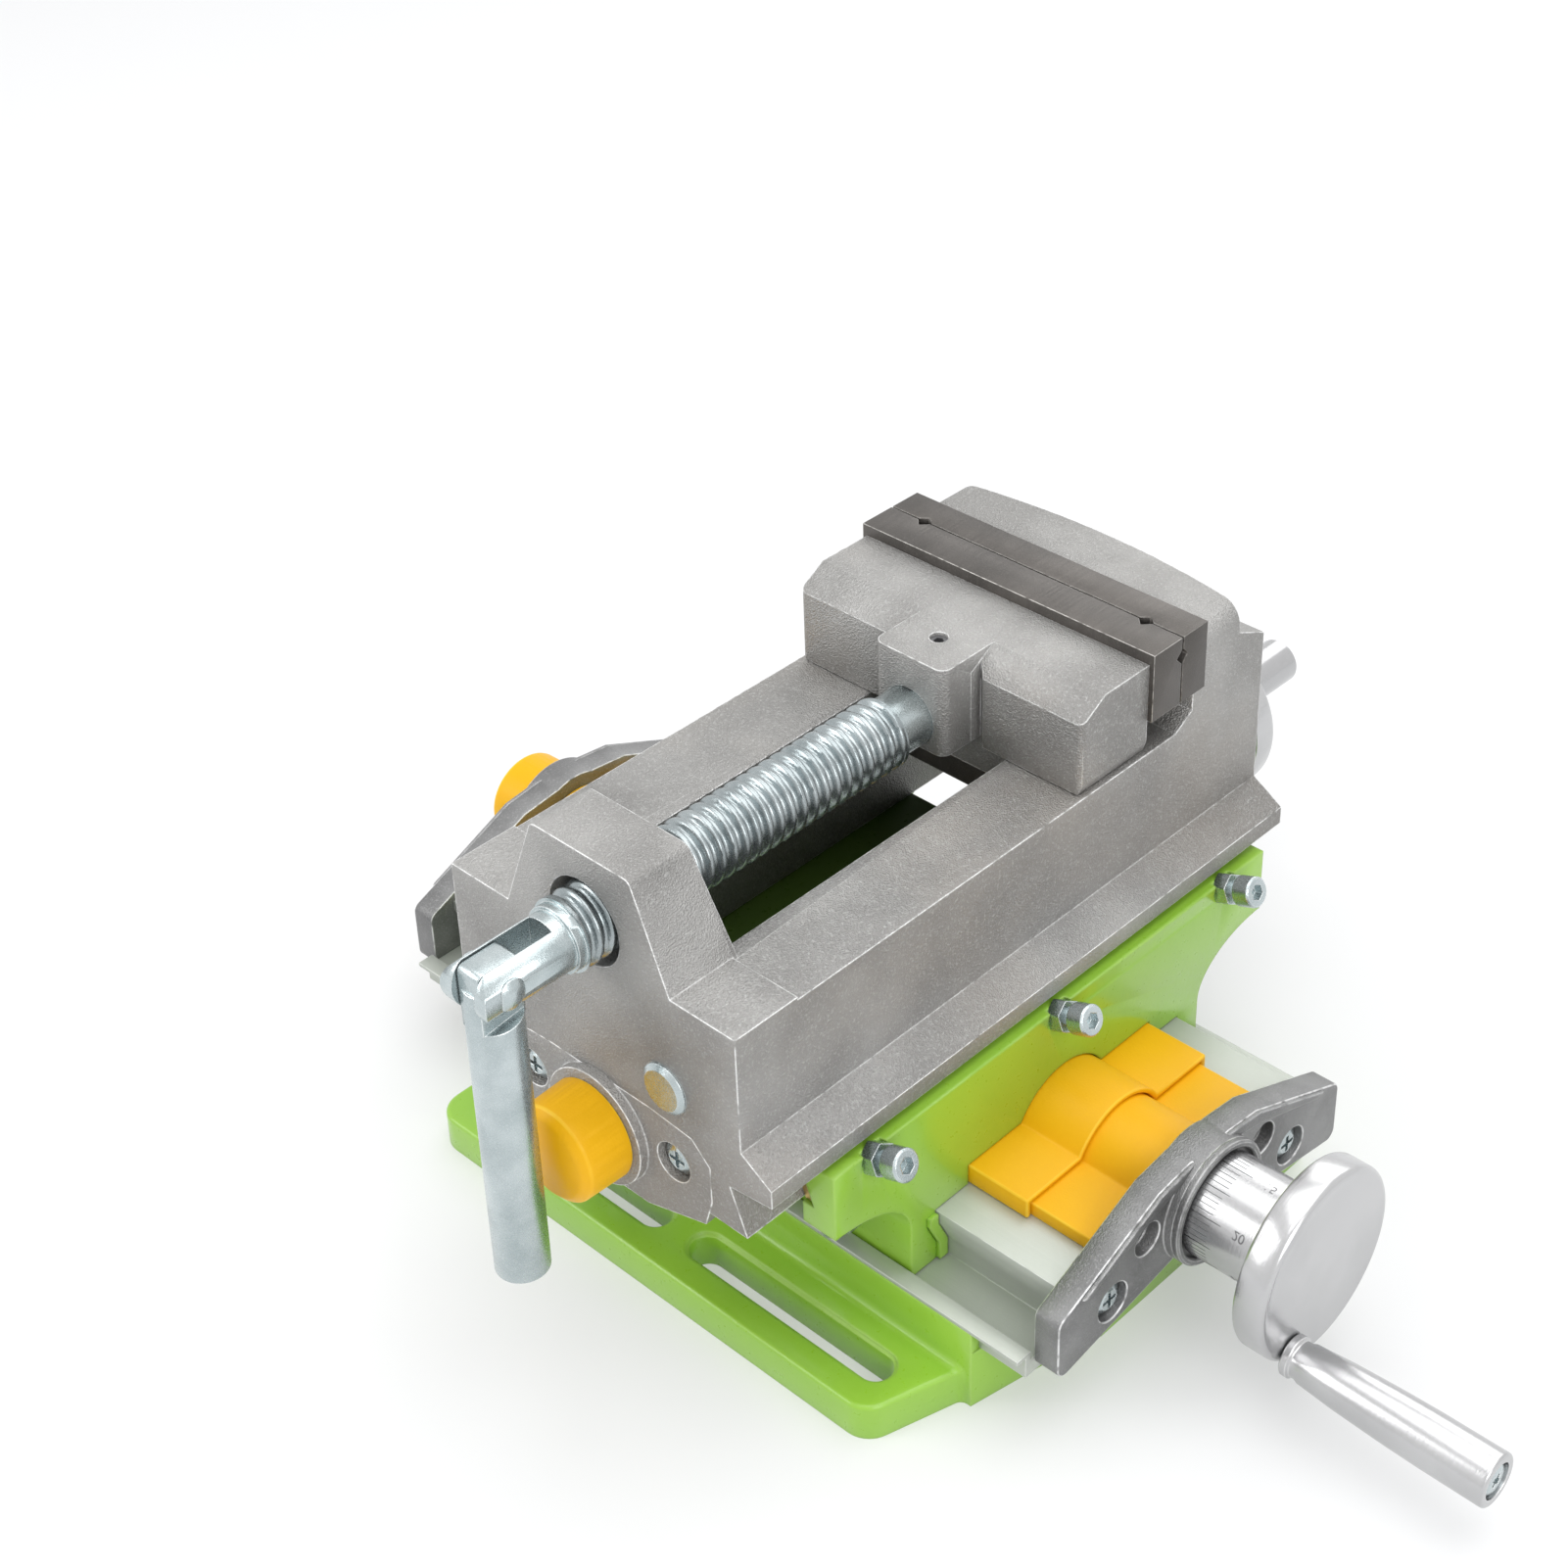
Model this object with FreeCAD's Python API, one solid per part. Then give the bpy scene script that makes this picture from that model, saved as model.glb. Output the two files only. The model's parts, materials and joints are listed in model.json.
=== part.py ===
import FreeCAD, Part
import math
import os

Vec = FreeCAD.Vector

# Millimetres. X runs along the lower rail, Y along the vise, Z up.
# The origin is on the underside of the base, where it stands on the drill table.

# Running fits between pieces that move
slide_gap = 0.35
air_gap = 0.5

# Base casting and its slotted front flange
flange_thickness = 11.0
flange_front = -77.5
flange_left = -76.2
flange_right = 86.8
flange_corner = 8.0
flange_edge = 1.2
base_right = 107.6
base_slant = 14.4 / 46.0
base_bed = 18.5
base_wall = 3.2
base_wall_margin = 2.87
base_corner_step = 6.0
slot_length = 71.0
slot_width = 11.0
slot_spacing = 79.0
slot_centre_x = 8.6
slot_centre_y = -64.0
slot_rim = 0.8
rib_pitch = 37.0
rib_width = 6.0
pocket_depth = 3.6

# Lower rail, an extrusion with two flanks that the saddle grips
rail_y = 13.0
rail_half_length = 112.8
rail_half_width = 63.9
rail_lip_width = 5.0
rail_lip_top = 26.35
rail_lip_thickness = 1.2
rail_floor = 23.5
rail_crown = 40.25
rail_crown_half = 49.1
rail_neck_half = 45.6
rail_groove_radius = 8.0

# Saddle between the two slides
flank_slope = 0.93
saddle_x = 12.6
saddle_half_x = 61.0
saddle_half_y = 85.2
saddle_top = 76.15
saddle_end_low = 56.45
saddle_floor = 62.9
saddle_floor_half = 55.0
saddle_foot_half = 58.3
saddle_foot_low = 24.0

# Covers that telescope over the lower leadscrew
cover_half = 36.5
cover_flat = 46.45
cover_top = 55.45
cover_arch_half = 16.0
cover_wall = 1.5
cover_nest = 2.0
cover_outer_length = 54.0
cover_inner_length = 50.0
cover_outer_gap = 26.5

# End brackets of the lower slide
bracket_thickness = 7.6
bracket_half = 57.7
bracket_knee = 20.0
bracket_knee_drop = 1.5
bracket_peak_half = 8.0
bracket_low_half = 12.0
bracket_corner = 3.0
bracket_peak = 56.55
bracket_end_top = 39.0
bracket_end_low = 20.0
bracket_middle_low = 27.8
bracket_screw_y = 36.9
bracket_screw_z = 31.35
bracket_spare_y = 23.8
bracket_spare_z = 42.85
bracket_spare_radius = 3.0
bracket_screw_length = 15.0
screw_seat = 4.0
seat_clearance = 0.8
bracket_ring = 17.5
ring_height = 2.7

# Leadscrews, thimbles, handwheels and grips, alike on both slides
lower_screw_z = 40.4
upper_screw_z = 69.95
leadscrew_radius = 6.0
journal_radius = 4.5
thimble_radius = 14.4
thimble_length = 24.0
wheel_radius = 26.5
wheel_width = 9.0
grip_offset = 23.5
grip_length = 58.5
grip_root = 4.75
grip_end = 7.2
grip_bolt_radius = 2.5
grip_angle = 236.5
cap_radius = 14.0
cap_length = 15.0
nut_length = 16.0

# Vise body, one casting with bed, fixed jaw and front block
bed_top = 123.45
bed_front = -90.5
bed_length = 199.2
bed_half = 49.2
bed_side_low = 90.15
skirt_half = 58.8
skirt_top = 84.1
skirt_low = 78.75
tail_neck_half = 44.8
tail_neck_z = 76.85
tail_half = 50.0
tail_low = 63.45
deck_thickness = 10.0
cavity_half = 40.0
front_wall = 22.0
rear_wall = 12.0
slot_half = 23.5
slot_end = 67.5
pad_length = 20.5
pad_rise = 0.8
plug_radius = 7.0
hump_half_top = 16.8
hump_half_foot = 28.4
hump_height = 29.3
hump_length_top = 18.7

# Vise screw, lever and jaws
screw_z = 132.3
screw_radius = 9.8
screw_mouth = 12.0
screw_tip_radius = 8.3
screw_front = -127.5
screw_thread_start = -97.5
screw_thread_end = 12.0
fork_radius = 8.0
fork_round = 8.3
fork_slot = 8.0
fork_depth = 24.0
collar_radius = 8.9
collar_length = 2.4
pin_y = -119.2
pin_radius = 2.5
pin_head = 4.2
lever_radius = 7.0
lever_low = 42.5
lever_chamfer = 0.8
eye_half = 6.4
eye_corner = 2.0
tongue_width = 7.2
tongue_low = 121.4
jaw_front = 33.0
jaw_chamfer_y = 9.0
jaw_chamfer_z = 5.2
jaw_half = 48.5
jaw_height = 27.0
plate_half = 50.0
plate_low = 10.0
plate_top = 30.3
moving_plate = 11.6
fixed_plate = 10.3
jaw_opening_gap = 0.3
plate_joint = 71.5
plate_groove = 3.0
plate_groove_x = 38.0
plate_groove_z = 24.5
boss_front = 22.5
boss_half = 12.0
tenon_half = 22.6
keeper_half = 34.0
keeper_thickness = 7.0
rear_jaw_height = 27.0
rear_jaw_sunk = 12.0
rear_jaw_left = 10.2
rear_jaw_middle = 5.9
rear_jaw_right = 11.4

# Fasteners
gib_screw_radius = 2.5
gib_screw_pitch = 69.4
gib_screw_z = 73.4
gib_nut_length = 4.4
gib_nut_sunk = 0.8
gib_head_start = 6.0
gib_head_length = 5.2
gib_head_radius = 4.25
gib_socket = 4.0
gib_thickness = 3.0
hex_across = 8.0
pan_head_radius = 4.8
pan_head_height = 3.0
pan_head_rim = 1.6
pan_crown_radius = 2.8
cross_half = 0.6
cross_reach = 2.6
cross_depth = 1.6
cap_screw_radius = 2.5
plate_sink = 6.0
plate_head_length = 5.0
plate_head_radius = 4.6


def box(x, y, z):
    return Part.makeBox(x[1] - x[0], y[1] - y[0], z[1] - z[0], Vec(x[0], y[0], z[0]))


def place(axis, along, a, b):
    """Point from a distance along one axis and the two other coordinates in order."""
    if axis == "x":
        return Vec(along, a, b)
    if axis == "y":
        return Vec(a, along, b)
    return Vec(a, b, along)


def direction(axis):
    return place(axis, 1, 0, 0)


def rod(axis, centre, span, radius):
    length = span[1] - span[0]
    return Part.makeCylinder(radius, length, place(axis, span[0], *centre), direction(axis))


def prism(axis, points, span):
    """Solid with the given outline across one axis, from span[0] to span[1]."""
    corners = [place(axis, span[0], *p) for p in points]
    face = Part.Face(Part.makePolygon(corners + corners[:1]))
    return face.extrude(direction(axis) * (span[1] - span[0]))


def mirrored(points, centre=0.0):
    """A half outline given as (distance from centre, height), closed by its mirror image."""
    right = [(centre + a, b) for a, b in points]
    left = [(centre - a, b) for a, b in reversed(points)]
    return right + left


def hexagon(axis, centre, span, across):
    corner = across / math.sqrt(3)
    turns = [math.radians(60 * i + 30) for i in range(6)]
    points = [(centre[0] + corner * math.cos(t), centre[1] + corner * math.sin(t)) for t in turns]
    return prism(axis, points, span)


def turned(axis, centre, outline):
    """Solid of revolution: the outline lists (distance along the axis, radius)."""
    side = 1 if axis != "y" else 0
    corners = []
    for along, radius in outline:
        a, b = (centre[0] + radius, centre[1]) if side == 0 else (centre[0], centre[1] + radius)
        corners.append(place(axis, along, a, b))
    face = Part.Face(Part.makePolygon(corners + corners[:1]))
    return face.revolve(place(axis, 0, *centre), direction(axis), 360)


def runs_along(edge, axis):
    start, end = edge.Vertexes[0].Point, edge.Vertexes[-1].Point
    if (end - start).Length < 1e-6 or edge.Curve.TypeId != "Part::GeomLine":
        return False
    return abs((end - start).normalize().dot(direction(axis))) > 0.999


def soften(shape, radius, axis, test):
    """Round the straight edges along one axis whose middle point passes the test."""
    picked = [e for e in shape.Edges if runs_along(e, axis) and test(e.CenterOfMass)]
    return shape.makeFillet(radius, picked)


def slot(centre, length, width, z):
    """Long hole along X with round ends."""
    reach = (length - width) / 2
    x, y = centre
    middle = box((x - reach, x + reach), (y - width / 2, y + width / 2), z)
    ends = [rod("z", (x + s * reach, y), z, width / 2) for s in (-1, 1)]
    return middle.fuse(ends)


def save(name, *solids):
    shape = solids[0] if len(solids) == 1 else Part.makeCompound(list(solids))
    shape.exportStep("parts/" + name + ".step")


os.makedirs("parts", exist_ok=True)

bed_back = bed_front + bed_length
body_x = saddle_x
saddle_right = saddle_x + saddle_half_x


# Base: a flat casting whose front flange carries the clamping slots
def make_base():
    slant_end = flange_front + (base_right - flange_right) / base_slant
    back = rail_y + rail_half_width
    outline = [(flange_left, flange_front), (flange_right, flange_front)]
    outline += [(base_right, slant_end), (base_right, back), (flange_left, back)]
    plate = prism("z", outline, (0, flange_thickness))
    plate = soften(plate, flange_corner, "z", lambda p: p.y < flange_front + 1)
    rim = [e for e in plate.Edges if min(v.Point.z for v in e.Vertexes) > flange_thickness - 0.01]
    plate = plate.makeFillet(flange_edge, rim)
    front = rail_y - rail_half_width
    wall_right = flange_right + (front - flange_front) * base_slant + base_wall_margin
    bed = [(flange_left, front), (wall_right, front), (base_right, slant_end + base_corner_step)]
    bed += [(base_right, back), (flange_left, back)]
    base = plate.fuse(prism("z", bed, (0, base_bed)))
    lip_low = rail_lip_top - rail_lip_thickness
    wall = box((flange_left, wall_right), (front, front + base_wall), (0, lip_low))
    base = base.fuse(wall).removeSplitter()
    base = soften(base, 2.5, "x", lambda p: abs(p.y - front) < 0.1 and abs(p.z - flange_thickness) < 0.1)
    for side in (-1, 1):
        centre = (slot_centre_x + side * slot_spacing / 2, slot_centre_y)
        base = base.cut(slot(centre, slot_length - 2 * slot_rim, slot_width - 2 * slot_rim,
                             (-1, flange_thickness + 1)))
        rim_z = (flange_thickness - slot_rim, flange_thickness + 1)
        base = base.cut(slot(centre, slot_length, slot_width, rim_z))
    row_pitch = (back - front - rib_width) / 3
    for column in range(-2, 2):
        left = rib_pitch * column + rib_width / 2
        for row in range(3):
            low = front + rib_width + row_pitch * row
            across = (left, left + rib_pitch - rib_width)
            base = base.cut(box(across, (low, low + row_pitch - rib_width), (-1, pocket_depth)))
    return base


# Rail: lips, channels, undercut crown and the groove for the leadscrew
def rail_outline(grow, low):
    rise = rail_crown - rail_floor
    return [(rail_neck_half + grow, low), (rail_neck_half + grow, rail_floor + rise * 0.35),
            (rail_crown_half + grow, rail_floor + rise * 0.8), (rail_crown_half + grow, rail_crown + grow)]


def make_rail():
    lip_low = rail_lip_top - rail_lip_thickness
    foot = rail_half_width - base_wall
    half = [(foot, base_bed), (foot, lip_low), (rail_half_width, lip_low)]
    half += [(rail_half_width, rail_lip_top), (rail_half_width - rail_lip_width, rail_lip_top)]
    half += [(rail_half_width - rail_lip_width, rail_floor)]
    half += rail_outline(0, rail_floor)
    span = (-rail_half_length, rail_half_length)
    rail = prism("x", mirrored(half, rail_y), span)
    rail = rail.cut(rod("x", (rail_y, lower_screw_z), span, rail_groove_radius))
    for side in (-1, 1):
        for place_y in (-bracket_screw_y, bracket_screw_y):
            reach = sorted((side * (rail_half_length - 14), side * rail_half_length))
            hole = rod("x", (rail_y + place_y, bracket_screw_z), reach, cap_screw_radius)
            rail = rail.cut(hole)
    return rail


# Cover section: flat flanks with a low arch over the screw
def cover_body(inset, low, span, arch_extra=0.0):
    flat, top = cover_flat - inset, cover_top - inset
    half, chord = cover_half - inset, cover_arch_half - inset * 0.6 + arch_extra
    rise = top - flat
    radius = (chord * chord + rise * rise) / (2 * rise)
    slab = box(span, (rail_y - half, rail_y + half), (low, flat))
    arch = rod("x", (rail_y, top - radius), span, radius)
    arch = arch.common(box(span, (rail_y - chord, rail_y + chord), (low, top + 1)))
    return slab.fuse(arch).removeSplitter()


def make_cover(inset, low, span):
    shell = cover_body(inset, low, span)
    inner = cover_body(inset + cover_wall, low - 1, (span[0] - 1, span[1] + 1))
    return shell.cut(inner)


# Saddle: side walls that grip the vise body above, feet that grip the rail below
def trough_half(z, extra):
    lean = (tail_half - tail_neck_half) / (tail_neck_z - tail_low)
    return tail_half + extra - (z - tail_low) * lean


def make_saddle():
    top, foot_low = saddle_top, saddle_foot_low
    y0, y1 = rail_y - saddle_half_y, rail_y + saddle_half_y
    drop = saddle_end_low - rail_crown
    inset = saddle_half_y - saddle_foot_half
    span = (saddle_x - saddle_half_x, saddle_x + saddle_half_x)
    block = box(span, (y0, y1), (foot_low, top))
    for side in (-1, 1):
        edge = rail_y + side * saddle_half_y
        scoop = Part.makeCylinder(1.0, span[1] - span[0], Vec(span[0], 0, 0), Vec(1, 0, 0))
        stretch = FreeCAD.Matrix()
        stretch.scale(Vec(1, inset, drop))
        scoop = scoop.transformGeometry(stretch)
        scoop.translate(Vec(0, edge, rail_crown))
        below = sorted((edge, edge - side * inset))
        block = block.cut(scoop)
        block = block.cut(box(span, below, (foot_low - 1, rail_crown)))
    extra = slide_gap / flank_slope
    gib_room = (gib_thickness + 0.2) / flank_slope
    trough = [(body_x - trough_half(top + 1, extra), top + 1),
              (body_x - trough_half(saddle_floor, extra), saddle_floor),
              (body_x + trough_half(saddle_floor, extra + gib_room), saddle_floor),
              (body_x + trough_half(top + 1, extra + gib_room), top + 1)]
    block = block.cut(prism("y", trough, (y0 - 1, y1 + 1)))
    wall_inner = tail_half + extra
    for side in (-1, 1):
        reach = sorted((rail_y + side * saddle_floor_half, rail_y + side * (saddle_half_y + 1)))
        opening = box((saddle_x - wall_inner, saddle_x + wall_inner), reach, (rail_crown, saddle_floor + 1))
        block = block.cut(opening)
    gib_side = lower_gib_room()
    passage = [(rail_neck_half + slide_gap, foot_low - 1)] + rail_outline(slide_gap, foot_low)[1:]
    block = block.cut(prism("x", mirrored(passage, rail_y), (span[0] - 1, span[1] + 1)))
    block = block.cut(gib_side)
    block = block.cut(cover_body(-0.4, rail_crown - 1, (span[0] - 1, span[1] + 1)))
    for y in gib_screw_rows():
        hole = rod("x", (y, gib_screw_z), (saddle_right - 20, saddle_right + 2), gib_screw_radius)
        block = block.cut(tilted(y, hole))
        seat = rod("x", (y, gib_screw_z), (saddle_right - gib_nut_sunk, saddle_right + 5), hex_across * 0.59)
        block = block.cut(tilted(y, seat))
    for x in lower_gib_screw_columns():
        reach = (rail_y - saddle_foot_half - 1, rail_y - rail_crown_half)
        block = block.cut(rod("y", (x, lower_gib_z), reach, gib_screw_radius))
    return block


lower_gib_z = 33.0


def gib_screw_rows():
    return [rail_y - 1.5 + gib_screw_pitch * i for i in (-1, 0, 1)]


def tilted(y, shape):
    """Turn a shape along X about the wall face, square to the sloping gib."""
    turn = math.degrees(math.atan((tail_half - tail_neck_half) / (tail_neck_z - tail_low)))
    return shape.rotate(Vec(saddle_right, y, gib_screw_z), Vec(0, -1, 0), turn)


def lower_gib_screw_columns():
    return [saddle_x + 40.0 * i for i in (-1, 0, 1)]


def lower_gib_outline(inner, outer):
    near = [(-a, z) for a, z in rail_outline(inner, saddle_foot_low)]
    far = [(-a, z) for a, z in rail_outline(outer, saddle_foot_low)]
    near[-1] = (near[-1][0], rail_crown - 0.5)
    far[-1] = (far[-1][0], rail_crown - 0.5)
    return [(rail_y + a, z) for a, z in near + far[::-1]]


def lower_gib_room():
    span = (saddle_x - saddle_half_x - 1, saddle_x + saddle_half_x + 1)
    return prism("x", lower_gib_outline(0.2, slide_gap + gib_thickness + 0.2), span)


def make_lower_gib():
    span = (saddle_x - saddle_half_x + 1, saddle_x + saddle_half_x + 1.2)
    return prism("x", lower_gib_outline(slide_gap, slide_gap + gib_thickness), span)


def make_upper_gib():
    extra = slide_gap / flank_slope
    low, high = saddle_floor + 0.3, saddle_top - 0.3
    thick = gib_thickness / flank_slope
    points = [(body_x + trough_half(low, extra), low), (body_x + trough_half(high, extra), high)]
    points += [(body_x + trough_half(z, extra + thick), z) for z in (high, low)]
    return prism("y", points, (rail_y - saddle_half_y + 1, rail_y + saddle_half_y - 1))


def socket_screw(axis, centre, tip, end, radius):
    """Headless screw with a hexagon socket in its outer end."""
    low, high = sorted((tip, end))
    screw = rod(axis, centre, (low, high), radius)
    mouth = sorted((end, end - math.copysign(radius * 1.2, end - tip)))
    return screw.cut(hexagon(axis, centre, mouth, radius))


def cap_screw(axis, centre, tip, head_start):
    """Socket head screw with its head on the far side of head_start."""
    end = head_start + gib_head_length
    shank = rod(axis, centre, (tip, head_start), gib_screw_radius)
    rim = 0.5
    head = turned(axis, centre, [(head_start, 0), (head_start, gib_head_radius), (end - rim, gib_head_radius),
                                 (end, gib_head_radius - rim), (end, 0)])
    return shank.fuse(head).cut(hexagon(axis, centre, (end - gib_head_length / 2, end + 1), gib_socket))


def hex_nut(axis, centre, span):
    nut = hexagon(axis, centre, span, hex_across)
    round_off = rod(axis, centre, span, hex_across * 0.56)
    return nut.common(round_off).cut(rod(axis, centre, span, gib_screw_radius))


# Vise body
def make_vise_body():
    half = [(tail_half, tail_low), (tail_neck_half, tail_neck_z), (skirt_half, skirt_low)]
    half += [(skirt_half, skirt_top), (bed_half, bed_side_low), (bed_half, bed_top)]
    body = prism("y", mirrored(half, body_x), (bed_front, bed_back))
    across = (body_x - bed_half, body_x + bed_half)
    pad = box(across, (bed_front, bed_front + pad_length), (bed_top, bed_top + pad_rise))
    hump = [(hump_half_foot, bed_top), (hump_half_top, bed_top + hump_height)]
    hump = prism("y", mirrored(hump, body_x), (bed_front, bed_front + front_wall))
    slope = [(bed_front + hump_length_top, bed_top + hump_height + 1),
             (bed_front + front_wall + 1, bed_top + hump_height + 1),
             (bed_front + front_wall + 1, bed_top), (bed_front + front_wall, bed_top)]
    hump = hump.cut(prism("x", slope, across))
    hump = soften(hump, 2.5, "y", lambda p: p.z > bed_top + hump_height - 1)
    body = body.fuse([pad, hump])
    body = body.fuse(make_fixed_jaw_block())
    inner_back = bed_back - rear_wall
    deck_low = bed_top - deck_thickness
    cavity = (body_x - cavity_half, body_x + cavity_half)
    body = body.cut(box(cavity, (bed_front + front_wall, inner_back), (tail_low - 1, deck_low)))
    opening = (body_x - slot_half, body_x + slot_half)
    body = body.cut(box(opening, (bed_front + front_wall, slot_end), (deck_low - 1, bed_top + 2)))
    screw_centre = (body_x, screw_z)
    body = body.cut(rod("y", screw_centre, (bed_front - 1, bed_front + front_wall + 1), screw_radius + 0.3))
    body = body.cut(rod("y", screw_centre, (bed_front - 1, bed_front + 9), screw_mouth))
    body = body.cut(rod("y", plug_place(), (bed_front - 1, bed_front + 6), plug_radius))
    recess = (bed_front - 1, bed_front + bracket_thickness)
    ring_recess = rod("y", (body_x, upper_screw_z), recess, bracket_ring - 1.0)
    body = body.cut([upper_bracket_blank(recess), ring_recess])
    for y in (bed_front + bracket_thickness, inner_back - 1):
        for side in (-1, 1):
            centre = (body_x + side * upper_bolt_x, upper_bolt_z)
            body = body.cut(rod("y", centre, (y, y + rear_wall + 2), cap_screw_radius))
    for side in (-1, 1):
        centre = (body_x + side * bolt_column, plate_bolt_z)
        body = body.cut(rod("y", centre, (plate_joint, plate_joint + fixed_plate + 13), cap_screw_radius))
    for reach in ((bed_front, bed_front + front_wall + 1), (inner_back - 1, bed_back + 1)):
        body = body.cut(rod("y", (body_x, upper_screw_z), reach, leadscrew_radius + 1.0))
    return body


def plug_place():
    return (body_x + plug_offset, bed_top - plug_drop)


upper_bolt_x = 25.5
upper_bolt_z = 72.45
upper_bracket_half = 38.3
upper_bracket_screw_length = 12.0
upper_keel_half = 15.0
upper_keel = 52.35
upper_foot_half = 35.7
upper_foot = 58.75
upper_side_low = 67.45
upper_side_top = 78.5
upper_shoulder_half = 32.5
upper_shoulder = 84.25
upper_top_half = 18.0
upper_top = 85.45
upper_nut_half = 13.0
upper_nut_rise = 10.0
upper_nut_corner = 5.0
lower_nut_half = 15.0
lower_nut_depth = 8.0
lower_gib_screw_out = 9.0
plug_offset = 24.3
plug_drop = 28.2
plug_depth = 6.0
plug_proud = 1.4
plug_rim = 0.4


def upper_bracket_blank(span):
    """Plate with shoulders and a keel, the same outline at both ends of the body."""
    half = [(upper_keel_half, upper_keel), (upper_foot_half, upper_foot), (upper_bracket_half, upper_side_low),
            (upper_bracket_half, upper_side_top), (upper_shoulder_half, upper_shoulder),
            (upper_top_half, upper_top)]
    return prism("y", mirrored(half, body_x), span)


def make_fixed_jaw_block():
    x0, x1 = body_x - bed_half, body_x + bed_half
    front = plate_joint + fixed_plate
    top = bed_top + rear_jaw_height
    foot = bed_top - rear_jaw_sunk
    left_end = Vec(x0, bed_back - rear_jaw_left, foot)
    right_end = Vec(x1, bed_back - rear_jaw_right, foot)
    arc = Part.Arc(left_end, Vec(body_x, bed_back - rear_jaw_middle, foot), right_end)
    sides = Part.makePolygon([right_end, Vec(x1, front, foot), Vec(x0, front, foot), left_end])
    face = Part.Face(Part.Wire([arc.toShape()] + sides.Edges))
    jaw = face.extrude(Vec(0, 0, rear_jaw_height + rear_jaw_sunk))
    back = [(bed_back - 14, foot), (bed_back, foot), (bed_back, bed_top + 13.5), (bed_back - 14, bed_top + 20)]
    jaw = jaw.fuse(prism("x", back, (x0, x1)))
    ledge = bed_top + plate_low - air_gap
    root = [(front - 12.3, bed_top - 1), (front - 3.8, bed_top + 4), (front - 3.8, ledge),
            (front + 1, ledge), (front + 1, bed_top - 1)]
    jaw = jaw.fuse(prism("x", root, (x0, x1))).removeSplitter()
    jaw = soften(jaw, 6.0, "y", lambda p: p.z > top - 0.1)
    deck_low = bed_top - deck_thickness
    return jaw.cut(box((x0 - 1, x1 + 1), (front - 20, bed_back + 1), (foot - 1, deck_low + 1)))


# Movable jaw
def make_movable_jaw():
    back = plate_joint - jaw_opening_gap - moving_plate
    low, top = bed_top + air_gap, bed_top + jaw_height
    x0, x1 = body_x - jaw_half, body_x + jaw_half
    side = [(jaw_front, low), (back, low), (back, top), (jaw_front + jaw_chamfer_y, top),
            (jaw_front, top - jaw_chamfer_z)]
    jaw = prism("x", side, (x0, x1))
    jaw = soften(jaw, 2.0, "z", lambda p: p.y < jaw_front + 1)
    for side in (-1, 1):
        edge = body_x + side * jaw_half
        corner = [(edge, low - 1), (edge - side * 1.5, low - 1), (edge, low + 3)]
        jaw = jaw.cut(prism("y", corner, (jaw_front - 1, back + 1)))
    boss = box((body_x - boss_half, body_x + boss_half), (boss_front, back), (low, top))
    boss = soften(boss, 3.0, "z", lambda p: p.y < boss_front + 1)
    jaw = jaw.fuse(boss)
    for side in (-1, 1):
        x = body_x + side * (boss_half + 0.1)
        notch = [(x, jaw_front + 4.0), (x, jaw_front - 1), (x + side * 5.0, jaw_front - 1)]
        jaw = jaw.cut(prism("z", notch, (low - 1, top + 1)))
    tenon = (body_x - tenon_half, body_x + tenon_half)
    deck_low = bed_top - deck_thickness
    jaw = jaw.fuse(box(tenon, (jaw_front + 4, back - 2), (deck_low - air_gap, low))).removeSplitter()
    jaw = jaw.cut(rod("y", (body_x, screw_z), (boss_front - 1, back - 6), screw_tip_radius + 0.1))
    jaw = jaw.cut(rod("z", (body_x, set_screw_y), (screw_z, top + 1), cap_screw_radius))
    for x in (-bolt_column, bolt_column):
        keeper_bolt = (body_x + x * keeper_bolt_ratio, keeper_bolt_y)
        jaw = jaw.cut(rod("y", (body_x + x, plate_bolt_z), (back - 14, back + 1), cap_screw_radius))
        jaw = jaw.cut(rod("z", keeper_bolt, (deck_low - 2, bed_top + 8), cap_screw_radius))
    return jaw


set_screw_y = 34.3
bolt_column = 30.0
keeper_bolt_ratio = 0.5
keeper_bolt_y = 47.0
plate_bolt_z = 138.4


def make_plate(front, back, face_y):
    """Hardened jaw plate with crossing grooves that hold round work."""
    x0, x1 = body_x - plate_half, body_x + plate_half
    plate = box((x0, x1), (front, back), (bed_top + plate_low, bed_top + plate_top))
    reach = plate_groove / math.sqrt(2)
    for side in (-1, 1):
        x = body_x + side * plate_groove_x
        square = [(x - reach, face_y), (x, face_y - reach), (x + reach, face_y), (x, face_y + reach)]
        plate = plate.cut(prism("z", square, (bed_top + plate_low - 1, bed_top + plate_top + 1)))
    z = bed_top + plate_groove_z
    square = [(face_y - reach, z), (face_y, z - reach), (face_y + reach, z), (face_y, z + reach)]
    plate = plate.cut(prism("x", square, (x0 - 1, x1 + 1)))
    outward = 1 if face_y < (front + back) / 2 else -1
    for side in (-1, 1):
        centre = (body_x + side * bolt_column, plate_bolt_z)
        plate = plate.cut(rod("y", centre, (front - 1, back + 1), cap_screw_radius))
        sink = sorted((face_y - outward, face_y + outward * plate_sink))
        plate = plate.cut(rod("y", centre, sink, plate_head_radius))
    return plate


def plate_screw(centre, seat, head_side, shank_end):
    """Screw whose head fills its recess; seat is the plane where head and shank meet."""
    head_end = seat + head_side * plate_head_length
    head = rod("y", centre, sorted((seat, head_end)), plate_head_radius)
    shank = rod("y", centre, sorted((shank_end, seat)), cap_screw_radius)
    mouth = sorted((head_end, head_end - head_side * plate_head_length * 0.6))
    return head.fuse(shank).cut(hexagon("y", centre, mouth, plate_head_radius))


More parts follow.
